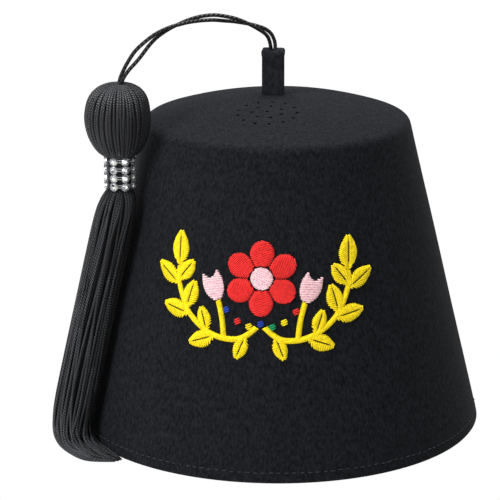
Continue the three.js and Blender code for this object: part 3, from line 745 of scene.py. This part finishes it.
def make_stalk(sizes, cord):
    """The folded felt strip that stands on the top and holds the cord in its fold."""
    # It stands a hair clear of the felt, and its top is as high as the solid's
    seat = 0.02 * MM
    base = crown_apex() + seat
    height = sizes.height + CLEARANCE - seat
    neck = height - sizes.fold
    layers = sizes.layer + sizes.slit / 2
    swollen = layers + sizes.swell
    outer = [Vector((layers, 0)), Vector((layers, neck * 0.5)), Vector((layers, neck))]
    widest = Vector((swollen, neck + sizes.fold * 0.4))
    outer += curve_between(outer[-1], Vector((swollen, neck)), widest, 3)[1:]
    outer += curve_between(widest, Vector((swollen, height)), Vector((0, height)), 6)[1:]
    slit = [Vector((sizes.slit / 2, neck)), Vector((sizes.slit / 2, 0))]
    half = outer + [Vector((-p.x, p.y)) for p in reversed(outer[:-1])]
    profile = half + [Vector((-p.x, p.y)) for p in reversed(slit)] + slit
    bm = bmesh.new()
    corners = [bm.verts.new((-sizes.width / 2, p.x, p.y)) for p in profile]
    face = bm.faces.new(corners)
    moved = among(bmesh.ops.extrude_face_region(bm, geom=[face]), bmesh.types.BMVert)
    bmesh.ops.translate(bm, verts=moved, vec=(sizes.width, 0, 0))
    for x in (-0.29, -0.12, -0.04, 0.04, 0.12, 0.29):
        bmesh.ops.bisect_plane(bm, geom=whole(bm), dist=TOUCHING,
                               plane_co=(x * sizes.width, 0, 0), plane_no=(1, 0, 0))
    bmesh.ops.recalc_face_normals(bm, faces=bm.faces)
    # The fold bulges, its corners are rounded, and the cord has pressed a crease into its middle
    corner, crease_depth = 1.6 * MM, 0.35 * MM
    for vert in bm.verts:
        crest = vert.co.z / height > 0.97
        bulge = max(0, min(1, (vert.co.z - neck) / (sizes.fold * 0.5)))
        vert.co.x *= 1 + 2 * sizes.swell / sizes.width * bulge * bulge * (3 - 2 * bulge)
        if abs(vert.co.x) > 0.4 * sizes.width:
            over = max(0, vert.co.z - (height - corner))
            inward = corner - math.sqrt(max(0, corner * corner - over * over))
            vert.co.x -= math.copysign(inward, vert.co.x)
        if crest:
            vert.co.z -= crease_depth * max(0, 1 - abs(vert.co.x) / (0.1 * sizes.width))
    stalk = placed("stalk_shape", mesh_from(bm, "stalk_shape"))
    mouth = cord.twist_radius + cord.diameter / 2 + 0.2 * MM
    bm = bmesh.new()
    bmesh.ops.create_cone(bm, cap_ends=True, segments=24, radius1=mouth, radius2=mouth, depth=8 * MM,
                          matrix=Matrix.Translation((0, 0, height + 1 * MM)))
    drill = placed("drill", mesh_from(bm, "drill"))
    rounding = {"width": 0.5 * MM, "segments": 3, "limit_method": "ANGLE", "angle_limit": math.radians(50)}
    mesh = applied(stalk, [("BEVEL", rounding), cut_by(drill)])
    bpy.data.objects.remove(drill)
    bpy.data.objects.remove(stalk)
    mesh.transform(Matrix.Translation((sizes.offset, sizes.back, base)))
    finish = felt("folded_felt", sizes.felt_colour, "#2b2c30")
    make_piece("felt_stalk", shaded(mesh, 50), finish, ["stalk_tab"])


def make_head(tassel):
    """The head: a ball wound with black cord, each turn running from its pole to its bound neck."""
    levels = tassel_levels()
    outline = [Vector((out * tassel.head_width / 2, levels.head_top - down * tassel.head_height))
               for down, out in HEAD_OUTLINE]
    line = smooth_line(outline, 30)
    shoulder = levels.head_top - tassel.head_height
    draws = random.Random(3)

    def lean(height):
        share = max(0, min(1, (height - shoulder) / tassel.head_height))
        return levels.hang + tassel.head_lean * math.sin(math.pi * share)

    def leaning(radius, angle, height):
        return hung((lean(height) + radius * math.cos(angle), radius * math.sin(angle), height))

    lines = []
    for k in range(tassel.head_cords):
        start = (k + draws.uniform(-0.3, 0.3)) / tassel.head_cords * 2 * math.pi
        wander = draws.uniform(-0.03, 0.03)
        thick = draws.uniform(0.8, 1.04)
        thread = []
        for step, point in enumerate(line):
            share = step / (len(line) - 1)
            room = 2 * math.pi * max(point.x, 0.6 * MM) / tassel.head_cords
            wide = thick * min(1, room / tassel.cord * 1.25 + 0.12)
            sunk = 0.5 * tassel.cord * wide
            angle = start + wander * math.sin(share * 5 + k)
            inward = max(0.3 * MM, point.x - sunk * min(1, point.x / (6 * MM)))
            drop = sunk * (1 - min(1, point.x / (12 * MM)))
            thread.append((leaning(inward, angle, point.y - drop), wide))
        tucked = leaning(tassel.neck_radius - 0.6 * MM, start, shoulder - 1.2 * MM)
        thread.append((tucked, thread[-1][1]))
        lines.append(thread)
    # The cords' own black, then the painted highlight on the crests of their plies
    finish = rayon("wound_rayon", "#040405", "#414349", 42)
    mesh = threads("head_cords", lines, tassel.cord, 2, draws)
    make_piece("head_cords", mesh, finish, ["tassel_head"])
    core = [(0, outline[0].y - 1.3 * MM)]
    core += [(point.x - 0.9 * MM, point.y - 0.6 * MM) for point in line[6:]]
    wraps, groove = 26, 0.22 * MM
    for k in range(wraps * 4 + 1):
        height = shoulder - 0.4 * MM - (shoulder - levels.skirt_top - 0.2 * MM) * k / (wraps * 4)
        core.append((tassel.neck_radius - groove * (1 - abs(math.sin(math.pi * k / 4))), height))
    core.append((0, core[-1][1]))
    bm = spun(core, 48)
    for vert in bm.verts:
        vert.co = hung((vert.co.x + lean(vert.co.z), vert.co.y, vert.co.z))
    finish = matt("bound_thread", "#08080a", 0.6, 1500)
    make_piece("head_core", mesh_from(bm, "head_core", 60), finish)


def one_cup(collar):
    """One claw cup with its cut stone, facing +X, as a cup bmesh and a stone bmesh."""
    lip = collar.pitch * 0.485
    turn = Matrix.Rotation(math.pi / 2, 4, "Y")
    cup = bmesh.new()
    bmesh.ops.create_circle(cup, cap_ends=True, segments=20, radius=lip * 0.78)
    top = cup.faces[:]
    for width, rise in ((1 / 0.78, collar.cup_depth), (0.88, 0), (0.92, -0.3 * MM)):
        grown = bmesh.ops.extrude_face_region(cup, geom=top)
        top, ring = among(grown, bmesh.types.BMFace), among(grown, bmesh.types.BMVert)
        bmesh.ops.scale(cup, verts=ring, vec=(width, width, 1))
        bmesh.ops.translate(cup, verts=ring, vec=(0, 0, rise))
    for k in range(4):
        angle = (k + 0.5) * math.pi / 2
        claw = bmesh.ops.create_cube(cup, size=1)["verts"]
        bmesh.ops.scale(cup, verts=claw, vec=(0.34 * MM, 0.6 * MM, 1.1 * MM))
        tips = [vert for vert in claw if vert.co.z > 0]
        bmesh.ops.scale(cup, verts=tips, vec=(0.8, 0.6, 1))
        bmesh.ops.translate(cup, verts=tips, vec=(-0.35 * MM, 0, 0))
        bmesh.ops.rotate(cup, verts=claw, cent=(0, 0, 0), matrix=Matrix.Rotation(angle, 3, "Z"))
        out = Vector((math.cos(angle), math.sin(angle), 0)) * lip * 0.97
        bmesh.ops.translate(cup, verts=claw, vec=out + UP * (collar.cup_depth * 0.95))
    bmesh.ops.recalc_face_normals(cup, faces=cup.faces)
    cup.transform(turn)
    stone = bmesh.new()
    bmesh.ops.create_cone(stone, cap_ends=True, segments=8, radius1=lip * 0.88, radius2=lip * 0.48,
                          depth=collar.stone_rise + 0.2 * MM)
    slant = [edge for edge in stone.edges if abs(edge.verts[0].co.z - edge.verts[1].co.z) > 0.1 * MM]
    bmesh.ops.bevel(stone, geom=slant, offset=0.32 * MM, segments=1, affect="EDGES", profile=0.5,
                    material=-1)
    rise = collar.cup_depth + collar.stone_rise / 2 - 0.1 * MM
    bmesh.ops.translate(stone, verts=stone.verts, vec=(0, 0, rise))
    bmesh.ops.rotate(stone, verts=stone.verts, cent=(0, 0, 0),
                     matrix=Matrix.Rotation(math.pi / 8, 3, "Z"))
    stone.transform(turn)
    return cup, stone


def make_collar(collar, tassel):
    """Four rows of cut stones in claw cups, linked by pairs of bars, round the neck."""
    levels = tassel_levels()
    out = tassel.neck_radius + CLEARANCE + collar.band
    step = 2 * math.pi / collar.columns
    half_bar, bar_radius, sunk = 0.5 * MM, 0.18 * MM, 0.1 * MM
    cup, stone = one_cup(collar)
    for side in (-half_bar, half_bar):
        place = Matrix.Rotation(step / 2, 4, "Z") @ Matrix.Translation(
            (out * math.cos(step / 2), 0, side)) @ Matrix.Rotation(math.pi / 2, 4, "X")
        bmesh.ops.create_cone(cup, cap_ends=True, segments=6, radius1=bar_radius, radius2=bar_radius,
                              depth=2 * out * math.sin(step / 2),
                              matrix=Matrix.Translation((sunk - out, 0, 0)) @ place)
    for name, bm, finish, nodes in (("stone_cups", cup, silver(), ["rhinestone_collar"]),
                                    ("cut_stones", stone, foiled_glass(), [])):
        bmesh.ops.translate(bm, verts=bm.verts, vec=(out - sunk, 0, 0))
        bmesh.ops.spin(bm, geom=whole(bm), axis=(0, 0, 1), cent=(0, 0, 0),
                       steps=collar.columns - 1, angle=2 * math.pi - step, use_duplicate=True)
        first = whole(bm)
        bmesh.ops.translate(bm, verts=bm.verts, vec=(levels.hang, 0, levels.collar_top - collar.pitch / 2))
        for row in range(1, collar.rows):
            moved = among(bmesh.ops.duplicate(bm, geom=first), bmesh.types.BMVert)
            bmesh.ops.translate(bm, verts=moved, vec=(0, 0, -row * collar.pitch))
        bm.transform(Matrix.Rotation(math.radians(tassel.azimuth), 4, "Z"))
        make_piece(name, mesh_from(bm, name, 25), finish, nodes)


def skirt_rows():
    """The skirt's sections: back and front edges as (radius, along, height), and half the depth."""
    tassel, levels = bpy.context.scene.fez_tassel, tassel_levels()
    half, drop = tassel.skirt_width / 2, levels.skirt_top - tassel.tail_drop
    rows = []
    for height, width, depth in SKIRT_SECTIONS:
        level = tassel.tail_drop + height * drop
        radius = max(side_radius(level) + levels.stand, levels.hang)
        rows.append((radius, -width * half, level, radius, width * half, level,
                     depth * tassel.skirt_depth / 2))
    for back, back_height, front, front_height, depth in TAIL_SECTIONS:
        low, high = back_height * tassel.tail_drop, front_height * tassel.tail_drop
        deep = depth * tassel.skirt_depth / 2
        off = (deep + CLEARANCE) / math.cos(side_slope())
        rows.append((side_radius(low) + off, -half + back * (tassel.tail_sweep + half), low,
                     side_radius(high) + off, half + front * (tassel.tail_sweep - half), high, deep))
    return rows


def in_skirt(rows, deep, wide, share):
    """A point of the skirt: deep and wide from -1 to 1 across its section, share of the way down."""
    row = on_sections(rows, share)
    point = Vector(row[:3]).lerp(Vector(row[3:6]), (wide + 1) / 2)
    radius, angle = point.x + deep * row[6], point.y / point.x
    return Vector((radius * math.cos(angle), radius * math.sin(angle), point.z))


def hanging_cord(tassel, rows, draws, angle, reach):
    """One cord of the skirt, from the neck down, at an angle round the skirt and as far out as reach."""
    steps, points, passes = 64, 80, 8
    reached = reach * draws.uniform(0.94, 1.01)
    end = draws.uniform(0.95, 1) if reach > 0.8 else draws.uniform(0.88, 0.97)
    drift, phase = draws.uniform(-0.26, 0.26), draws.uniform(0, 6)
    thick = draws.uniform(0.84, 1.02)
    places = []
    # It wanders to one side and back, with a small quick wave on top, and starts drawn in at the neck
    for step in range(steps + 1):
        share = end * step / steps
        wave = drift * math.sin(phase + share * 7) + 0.05 * math.sin(phase * 5 + share * 19)
        turned = angle + wave * min(1, share * 5)
        drawn_in = reached * min(1, 0.55 + (steps - step) * 0.1)
        places.append(in_skirt(rows, drawn_in * math.cos(turned), drawn_in * math.sin(turned), share))
    places = smooth_line(places, points)
    # Each pass evens out its bends a little
    for _ in range(passes):
        between = [(a + b * 2 + c) / 4 for a, b, c in zip(places, places[1:], places[2:])]
        places = [places[0], *between, places[-1]]
    line = []
    for step, place in enumerate(places):
        place.z = max(place.z, tassel.hanging * 0.5 + 0.05 * MM)
        taper = min(1, 0.72 + step * 0.1, 0.3 + (points - 1 - step) * 0.1)
        line.append((hung(place), thick * taper))
    return line


def skirt_core(rows, corners):
    """A bmesh of the dark packed cords inside the skirt, seen in the gaps between the outer ones."""
    steps, start, reach = 44, 0.02, 0.9
    bm = bmesh.new()
    ring = bmesh.ops.create_circle(bm, cap_ends=True, segments=corners, radius=0.66)["verts"]
    flat = [vert.co.copy() for vert in ring]
    face = bm.faces[:]
    for step in range(steps + 1):
        if step:
            grown = bmesh.ops.extrude_face_region(bm, geom=face)
            face, ring = among(grown, bmesh.types.BMFace), among(grown, bmesh.types.BMVert)
            ring.sort(key=lambda vert: min(range(corners), key=lambda i: (vert.co - last[i]).length))
        last = []
        for vert, corner in zip(ring, flat):
            place = in_skirt(rows, corner.x, corner.y, start + reach * step / steps)
            place.z = max(place.z, 0.3 * MM)
            vert.co = hung(place)
            last.append(vert.co.copy())
    bmesh.ops.recalc_face_normals(bm, faces=bm.faces)
    return bm


def make_skirt(tassel):
    """The skirt: twisted cords that hang from the collar, lie on the crown and turn along the rim."""
    rows = skirt_rows()
    draws = random.Random(8)
    lines = []
    for count, reach in ((tassel.outer_cords, 0.92), (tassel.inner_cords, 0.74)):
        for k in range(count):
            angle = (k + draws.uniform(-0.3, 0.3)) / count * 2 * math.pi
            lines.append(hanging_cord(tassel, rows, draws, angle, reach))
    # The cords' own black, then the painted highlight on the crests of their plies, at a strength drawn for
    # each cord
    finish = rayon("hanging_rayon", "#030304", "#53565c", 112, roughness=0.36, faintest_highlight=0.12)
    mesh = threads("skirt_cords", lines, tassel.hanging, 2, draws)
    make_piece("skirt_cords", mesh, finish, ["tassel_skirt"])
    finish = matt("packed_cords", "#030304", 0.7, 1200)
    make_piece("skirt_core", mesh_from(skirt_core(rows, 24), "skirt_core", 60), finish)


def wrapped(x, y, lift):
    """A point of the flat drawing laid on the crown's side, lifted off the felt."""
    slope, centre = side_slope(), bpy.context.scene.fez_stitches.height
    level = centre + y * math.cos(slope)
    angle = x / side_radius(level) - math.pi / 2
    radius = side_radius(level) + lift * math.cos(slope)
    return Vector((radius * math.cos(angle), radius * math.sin(angle), level + lift * math.sin(slope)))


def stitch(start, end, sizes, draws):
    """One satin stitch from edge to edge of a pad, arched over it, both ends sunk in the felt."""
    length = (end - start).length
    steps, sunk, shoulder = 8, 0.1 * MM, 1.5 * MM
    line = []
    for k in range(steps + 1):
        share = k / steps
        share = share * share * (3 - 2 * share)
        place = start.lerp(end, share)
        edge = min(share, 1 - share) * length
        arch = math.sqrt(max(0, 1 - (1 - min(1, edge / shoulder)) ** 2))
        lift = (sizes.rise - 0.3 * MM) * arch - sunk
        line.append((wrapped(place.x, place.y, lift + draws.uniform(-0.02, 0.02) * MM), 1))
    return line


def satin(outline, angle, sizes, draws):
    """Satin stitches side by side across a closed outline, all at one angle."""
    turn, back = Matrix.Rotation(-angle, 2), Matrix.Rotation(angle, 2)
    turned = [turn @ point for point in outline]
    low, high = min(point.y for point in turned), max(point.y for point in turned)
    lines = []
    count = max(1, int((high - low) / sizes.spacing))
    for k in range(count):
        y = low + (high - low) * (k + 0.5) / count
        cuts = sorted(a.x + (y - a.y) / (b.y - a.y) * (b.x - a.x)
                      for a, b in zip(turned, turned[1:] + turned[:1]) if (a.y <= y) != (b.y <= y))
        for start, end in zip(cuts[::2], cuts[1::2]):
            start -= draws.uniform(0, 0.14) * MM
            end += draws.uniform(0, 0.14) * MM
            if end - start > 0.5 * MM:
                lines.append(stitch(back @ Vector((start, y)), back @ Vector((end, y)), sizes, draws))
    return lines


def on_drawing(points, sizes):
    """Points of the drawing from their shares of half the spray's width and height."""
    half_width, half_height = sizes.spray_width / 2, sizes.spray_height / 2
    return [Vector((across * half_width, up * half_height)) for across, up in points]


def drawn_line(points, sizes, count):
    """A smooth line of the drawing through points given in shares."""
    return smooth_line(on_drawing(points, sizes), count)


def flipped(points):
    """The points of an outline mirrored about its own length, from the end back."""
    return [Vector((point.x, -point.y)) for point in reversed(points)]


def ribbon_stitches(line, width, sizes, draws):
    """Short slanting stitches side by side along a line."""
    even = smooth_line(line, max(3, int(line_length(line) / sizes.spacing)))
    lines = []
    for before, point, after in zip(even, even[1:], even[2:]):
        along = (after - before).normalized()
        across = Vector((-along.y, along.x)) * 0.9 + along * 0.4
        half = across.normalized() * width / 2
        lines.append(stitch(point - half, point + half, sizes, draws))
    return lines


def leaf_halves(length, width):
    """The two halves of a pointed leaf from its foot along +X."""
    upper = curve_between(Vector((0, 0)), Vector((length * 0.42, width)), Vector((length, 0)), 12)
    return upper, [Vector((point.x, -point.y)) for point in upper]


def moved_to(outline, foot, angle):
    """An outline turned by an angle and moved to a foot."""
    turn = Matrix.Rotation(angle, 2)
    return [turn @ point + foot for point in outline]


def outline_thread(line, lift):
    """A thin thread laid along a line of the drawing, its ends on the felt."""
    ends = {0: 0, len(line) - 1: 0}
    return [(wrapped(point.x, point.y, ends.get(k, lift)), 1) for k, point in enumerate(line)]


def branch_drawing(sizes):
    """The right branch: its stem's line, and the foot, the angle and the size of each leaf."""
    route = on_drawing(STEM_ROUTE, sizes)
    leaves = []
    for at, turn, scale in LEAVES:
        foot = on_sections(route, at)
        along = on_sections(route, at + 0.01) - foot
        leaves.append((foot, math.atan2(along.y, along.x) + math.radians(turn), scale))
    return smooth_line(route, 120), leaves


def mirrored(lines, side):
    """The same threads on the left when side is -1."""
    return [[(Vector((point.x * side, point.y, point.z)), share) for point, share in line] for line in lines]


def make_branches(sizes):
    """The two yellow branches: stems, leaves in two halves, and the black lines down their middles."""
    yellow = embroidery_thread("yellow_polyester", sizes.yellow)
    black = embroidery_thread("black_polyester", sizes.black)
    stem, leaves = branch_drawing(sizes)
    for side, name in ((1, "right"), (-1, "left")):
        draws = random.Random(21)
        lines = ribbon_stitches(stem, STEM_WIDTH, sizes, draws)
        lines += ribbon_stitches(drawn_line(BUD_STALK, sizes, 20), STEM_WIDTH, sizes, draws)
        veins = []
        for foot, angle, scale in leaves:
            length = LEAF_LENGTH * scale
            for half, slant in zip(leaf_halves(length, LEAF_WIDTH * scale), (55, -55)):
                lines += satin(moved_to(half, foot, angle), angle + math.radians(slant), sizes, draws)
            vein = moved_to([Vector((length * k / 8, 0)) for k in range(1, 8)], foot, angle)
            veins.append(outline_thread(vein, 0.62 * MM))
        sewn(f"branch_{name}", mirrored(lines, side), sizes.thread, yellow,
             [f"embroidered_branch_{name}"])
        sewn(f"veins_{name}", mirrored(veins, side), sizes.outline, black)


def bud_outline(sizes):
    """The outline of the right bud, which opens in two points."""
    half, length = BUD_WIDTH / 2, BUD_LENGTH
    tip, notch = Vector((length, -half * 0.75)), Vector((length * 0.8, 0))
    right = curve_between(Vector((0, -half * 0.3)), Vector((length * 0.35, -half * 1.5)), tip, 10)
    right += curve_between(tip, Vector((length * 0.78, -half * 0.3)), notch, 5)[1:]
    foot = on_drawing(BUD_STALK, sizes)[-1]
    return moved_to(right + flipped(right[:-1]), foot, math.radians(BUD_TURN))


def make_buds(sizes):
    """The two pink buds on their stalks, with black edges."""
    pink, black = embroidery_thread("pink_polyester", sizes.pink), bpy.data.materials["black_polyester"]
    outline = bud_outline(sizes)
    for side, name in ((1, "right"), (-1, "left")):
        lines = satin(outline, math.radians(BUD_TURN - 72), sizes, random.Random(34))
        sewn(f"bud_{name}", mirrored(lines, side), sizes.thread, pink,
             [f"embroidered_bud_{name}"])
        edge = outline_thread(outline + outline[:1], 0.18 * MM)
        sewn(f"bud_edge_{name}", mirrored([edge], side), sizes.outline, black)


def circle(x, y, radius, count):
    """Points round a circle of the drawing."""
    angles = [k / count * 2 * math.pi for k in range(count)]
    return [Vector((x + radius * math.cos(angle), y + radius * math.sin(angle))) for angle in angles]


def make_flower(sizes):
    """The red flower with its pink heart and the black lines between its petals."""
    draws = random.Random(55)
    red = embroidery_thread("red_polyester", sizes.red)
    middle = Vector((0, FLOWER_RISE))
    # One side of a petal in millimetres: how far out from the flower's middle, and half the width there
    shape = [(5.2, 2.6), (7, 3.8), (9, 4.9), (10.8, 5.2), (12.8, 4.7), (14.6, 3.4), (15.7, 1.7)]
    edge = [Vector((r * MM, -w * MM)) for r, w in shape]
    petal = smooth_line(edge + [Vector((FLOWER_RADIUS, 0))] + flipped(edge), 40)
    lines, borders = [], []
    for k in range(6):
        angle = (k + 0.5) / 6 * 2 * math.pi
        lines += satin(moved_to(petal, middle, angle), angle + math.radians(76), sizes, draws)
        borders.append(outline_thread(moved_to(petal[1:-1], middle, angle), 0.22 * MM))
    sewn("petals", lines, sizes.thread, red, ["embroidered_petals"])
    heart = circle(0, 0, HEART_RADIUS, 24)
    lines = satin(moved_to(heart, middle, 0), math.radians(20), sizes, draws)
    sewn("heart", lines, sizes.thread, bpy.data.materials["pink_polyester"],
         ["embroidered_heart"])
    ring = [point * 1.06 for point in heart]
    borders.append(outline_thread(moved_to(ring + ring[:1], middle, 0), 0.5 * MM))
    sewn("petal_edges", borders, sizes.outline, bpy.data.materials["black_polyester"])
    make_knots(sizes, draws)


def make_knots(sizes, draws):
    """The small coloured knots in a bow below the flower."""
    radius = 1.3 * MM
    # Each knot's place across and up in millimetres, and its colour
    knots = [(-15, -9, "blue"), (-10, -13.5, "red"), (-5, -15.5, "yellow"), (0, -14.2, "blue"),
             (5, -15.5, "green"), (10, -13.5, "yellow"), (15, -9, "red")]
    for tone in ("blue", "green", "yellow", "red"):
        dots = []
        for x, y, name in knots:
            if name == tone:
                dots += satin(circle(x * MM, y * MM, radius, 12), 0.4, sizes, draws)
        finish = bpy.data.materials.get(f"{tone}_polyester")
        finish = finish or embroidery_thread(f"{tone}_polyester", getattr(sizes, tone))
        sewn(f"{tone}_knots", dots, sizes.thread, finish)


class FEZ_OT_stage(bpy.types.Operator):
    """Sets the camera, the floor and the lights"""

    bl_idname = "fez.stage"
    bl_label = "Stage"

    def execute(self, context):
        make_stage(context.scene.fez_stage)
        return {"FINISHED"}


class FEZ_OT_cord(bpy.types.Operator):
    """Makes the doubled cord"""

    bl_idname = "fez.cord"
    bl_label = "Cord"

    def execute(self, context):
        make_cord(context.scene.fez_cord, context.scene.fez_stalk)
        return {"FINISHED"}


class FEZ_OT_crown(bpy.types.Operator):
    """Makes the felt crown with its air holes"""

    bl_idname = "fez.crown"
    bl_label = "Crown"

    def execute(self, context):
        make_crown(context.scene.fez_crown, context.scene.fez_vents, context.scene.fez_stalk)
        return {"FINISHED"}


class FEZ_OT_rim(bpy.types.Operator):
    """Makes the row of stitches round the rim"""

    bl_idname = "fez.rim"
    bl_label = "Rim stitches"

    def execute(self, context):
        make_rim_stitches(context.scene.fez_crown)
        return {"FINISHED"}


class FEZ_OT_stalk(bpy.types.Operator):
    """Makes the folded felt stalk"""

    bl_idname = "fez.stalk"
    bl_label = "Stalk"

    def execute(self, context):
        make_stalk(context.scene.fez_stalk, context.scene.fez_cord)
        return {"FINISHED"}


class FEZ_OT_head(bpy.types.Operator):
    """Makes the tassel's head and its bound neck"""

    bl_idname = "fez.head"
    bl_label = "Tassel head"

    def execute(self, context):
        make_head(context.scene.fez_tassel)
        return {"FINISHED"}


class FEZ_OT_collar(bpy.types.Operator):
    """Makes the stone collar"""

    bl_idname = "fez.collar"
    bl_label = "Stone collar"

    def execute(self, context):
        make_collar(context.scene.fez_collar, context.scene.fez_tassel)
        return {"FINISHED"}


class FEZ_OT_skirt(bpy.types.Operator):
    """Makes the tassel's skirt of hanging cords"""

    bl_idname = "fez.skirt"
    bl_label = "Tassel skirt"

    def execute(self, context):
        make_skirt(context.scene.fez_tassel)
        return {"FINISHED"}


class FEZ_OT_branches(bpy.types.Operator):
    """Stitches the two yellow branches"""

    bl_idname = "fez.branches"
    bl_label = "Branches"

    def execute(self, context):
        make_branches(context.scene.fez_stitches)
        return {"FINISHED"}


class FEZ_OT_flowers(bpy.types.Operator):
    """Stitches the buds, the flower and the knots"""

    bl_idname = "fez.flowers"
    bl_label = "Flower and buds"

    def execute(self, context):
        make_buds(context.scene.fez_stitches)
        make_flower(context.scene.fez_stitches)
        return {"FINISHED"}


class FEZ_PT_panel(bpy.types.Panel):
    """Lists the fez's pieces and their sizes"""

    bl_idname = "FEZ_PT_panel"
    bl_label = "Felt fez"
    bl_space_type = "VIEW_3D"
    bl_region_type = "UI"
    bl_category = "Fez"

    def draw(self, context):
        for operator in OPERATORS:
            self.layout.operator(operator.bl_idname)
        for name, group in GROUPS.items():
            box = self.layout.box()
            box.label(text=group.__doc__)
            for entry in group.__annotations__:
                box.prop(getattr(context.scene, name), entry)


GROUPS = {
    "fez_stage": FezStageSizes,
    "fez_crown": FezCrownSizes,
    "fez_vents": FezVentSizes,
    "fez_stalk": FezStalkSizes,
    "fez_cord": FezCordSizes,
    "fez_tassel": FezTasselSizes,
    "fez_collar": FezCollarSizes,
    "fez_stitches": FezStitchSizes,
}
OPERATORS = (
    FEZ_OT_stage, FEZ_OT_cord, FEZ_OT_crown, FEZ_OT_rim, FEZ_OT_stalk, FEZ_OT_head,
    FEZ_OT_collar, FEZ_OT_skirt, FEZ_OT_branches, FEZ_OT_flowers,
)


def register():
    for name, group in GROUPS.items():
        bpy.utils.register_class(group)
        setattr(bpy.types.Scene, name, PointerProperty(type=group))
    for kind in (*OPERATORS, FEZ_PT_panel):
        bpy.utils.register_class(kind)


def unregister():
    for kind in (FEZ_PT_panel, *reversed(OPERATORS)):
        bpy.utils.unregister_class(kind)
    for name, group in GROUPS.items():
        delattr(bpy.types.Scene, name)
        bpy.utils.unregister_class(group)


def main():
    register()
    bpy.ops.fez.stage()
    bpy.ops.fez.cord()
    bpy.ops.fez.crown()
    bpy.ops.fez.rim()
    bpy.ops.fez.stalk()
    bpy.ops.fez.head()
    bpy.ops.fez.collar()
    bpy.ops.fez.skirt()
    bpy.ops.fez.branches()
    bpy.ops.fez.flowers()


if __name__ == "__main__":
    main()
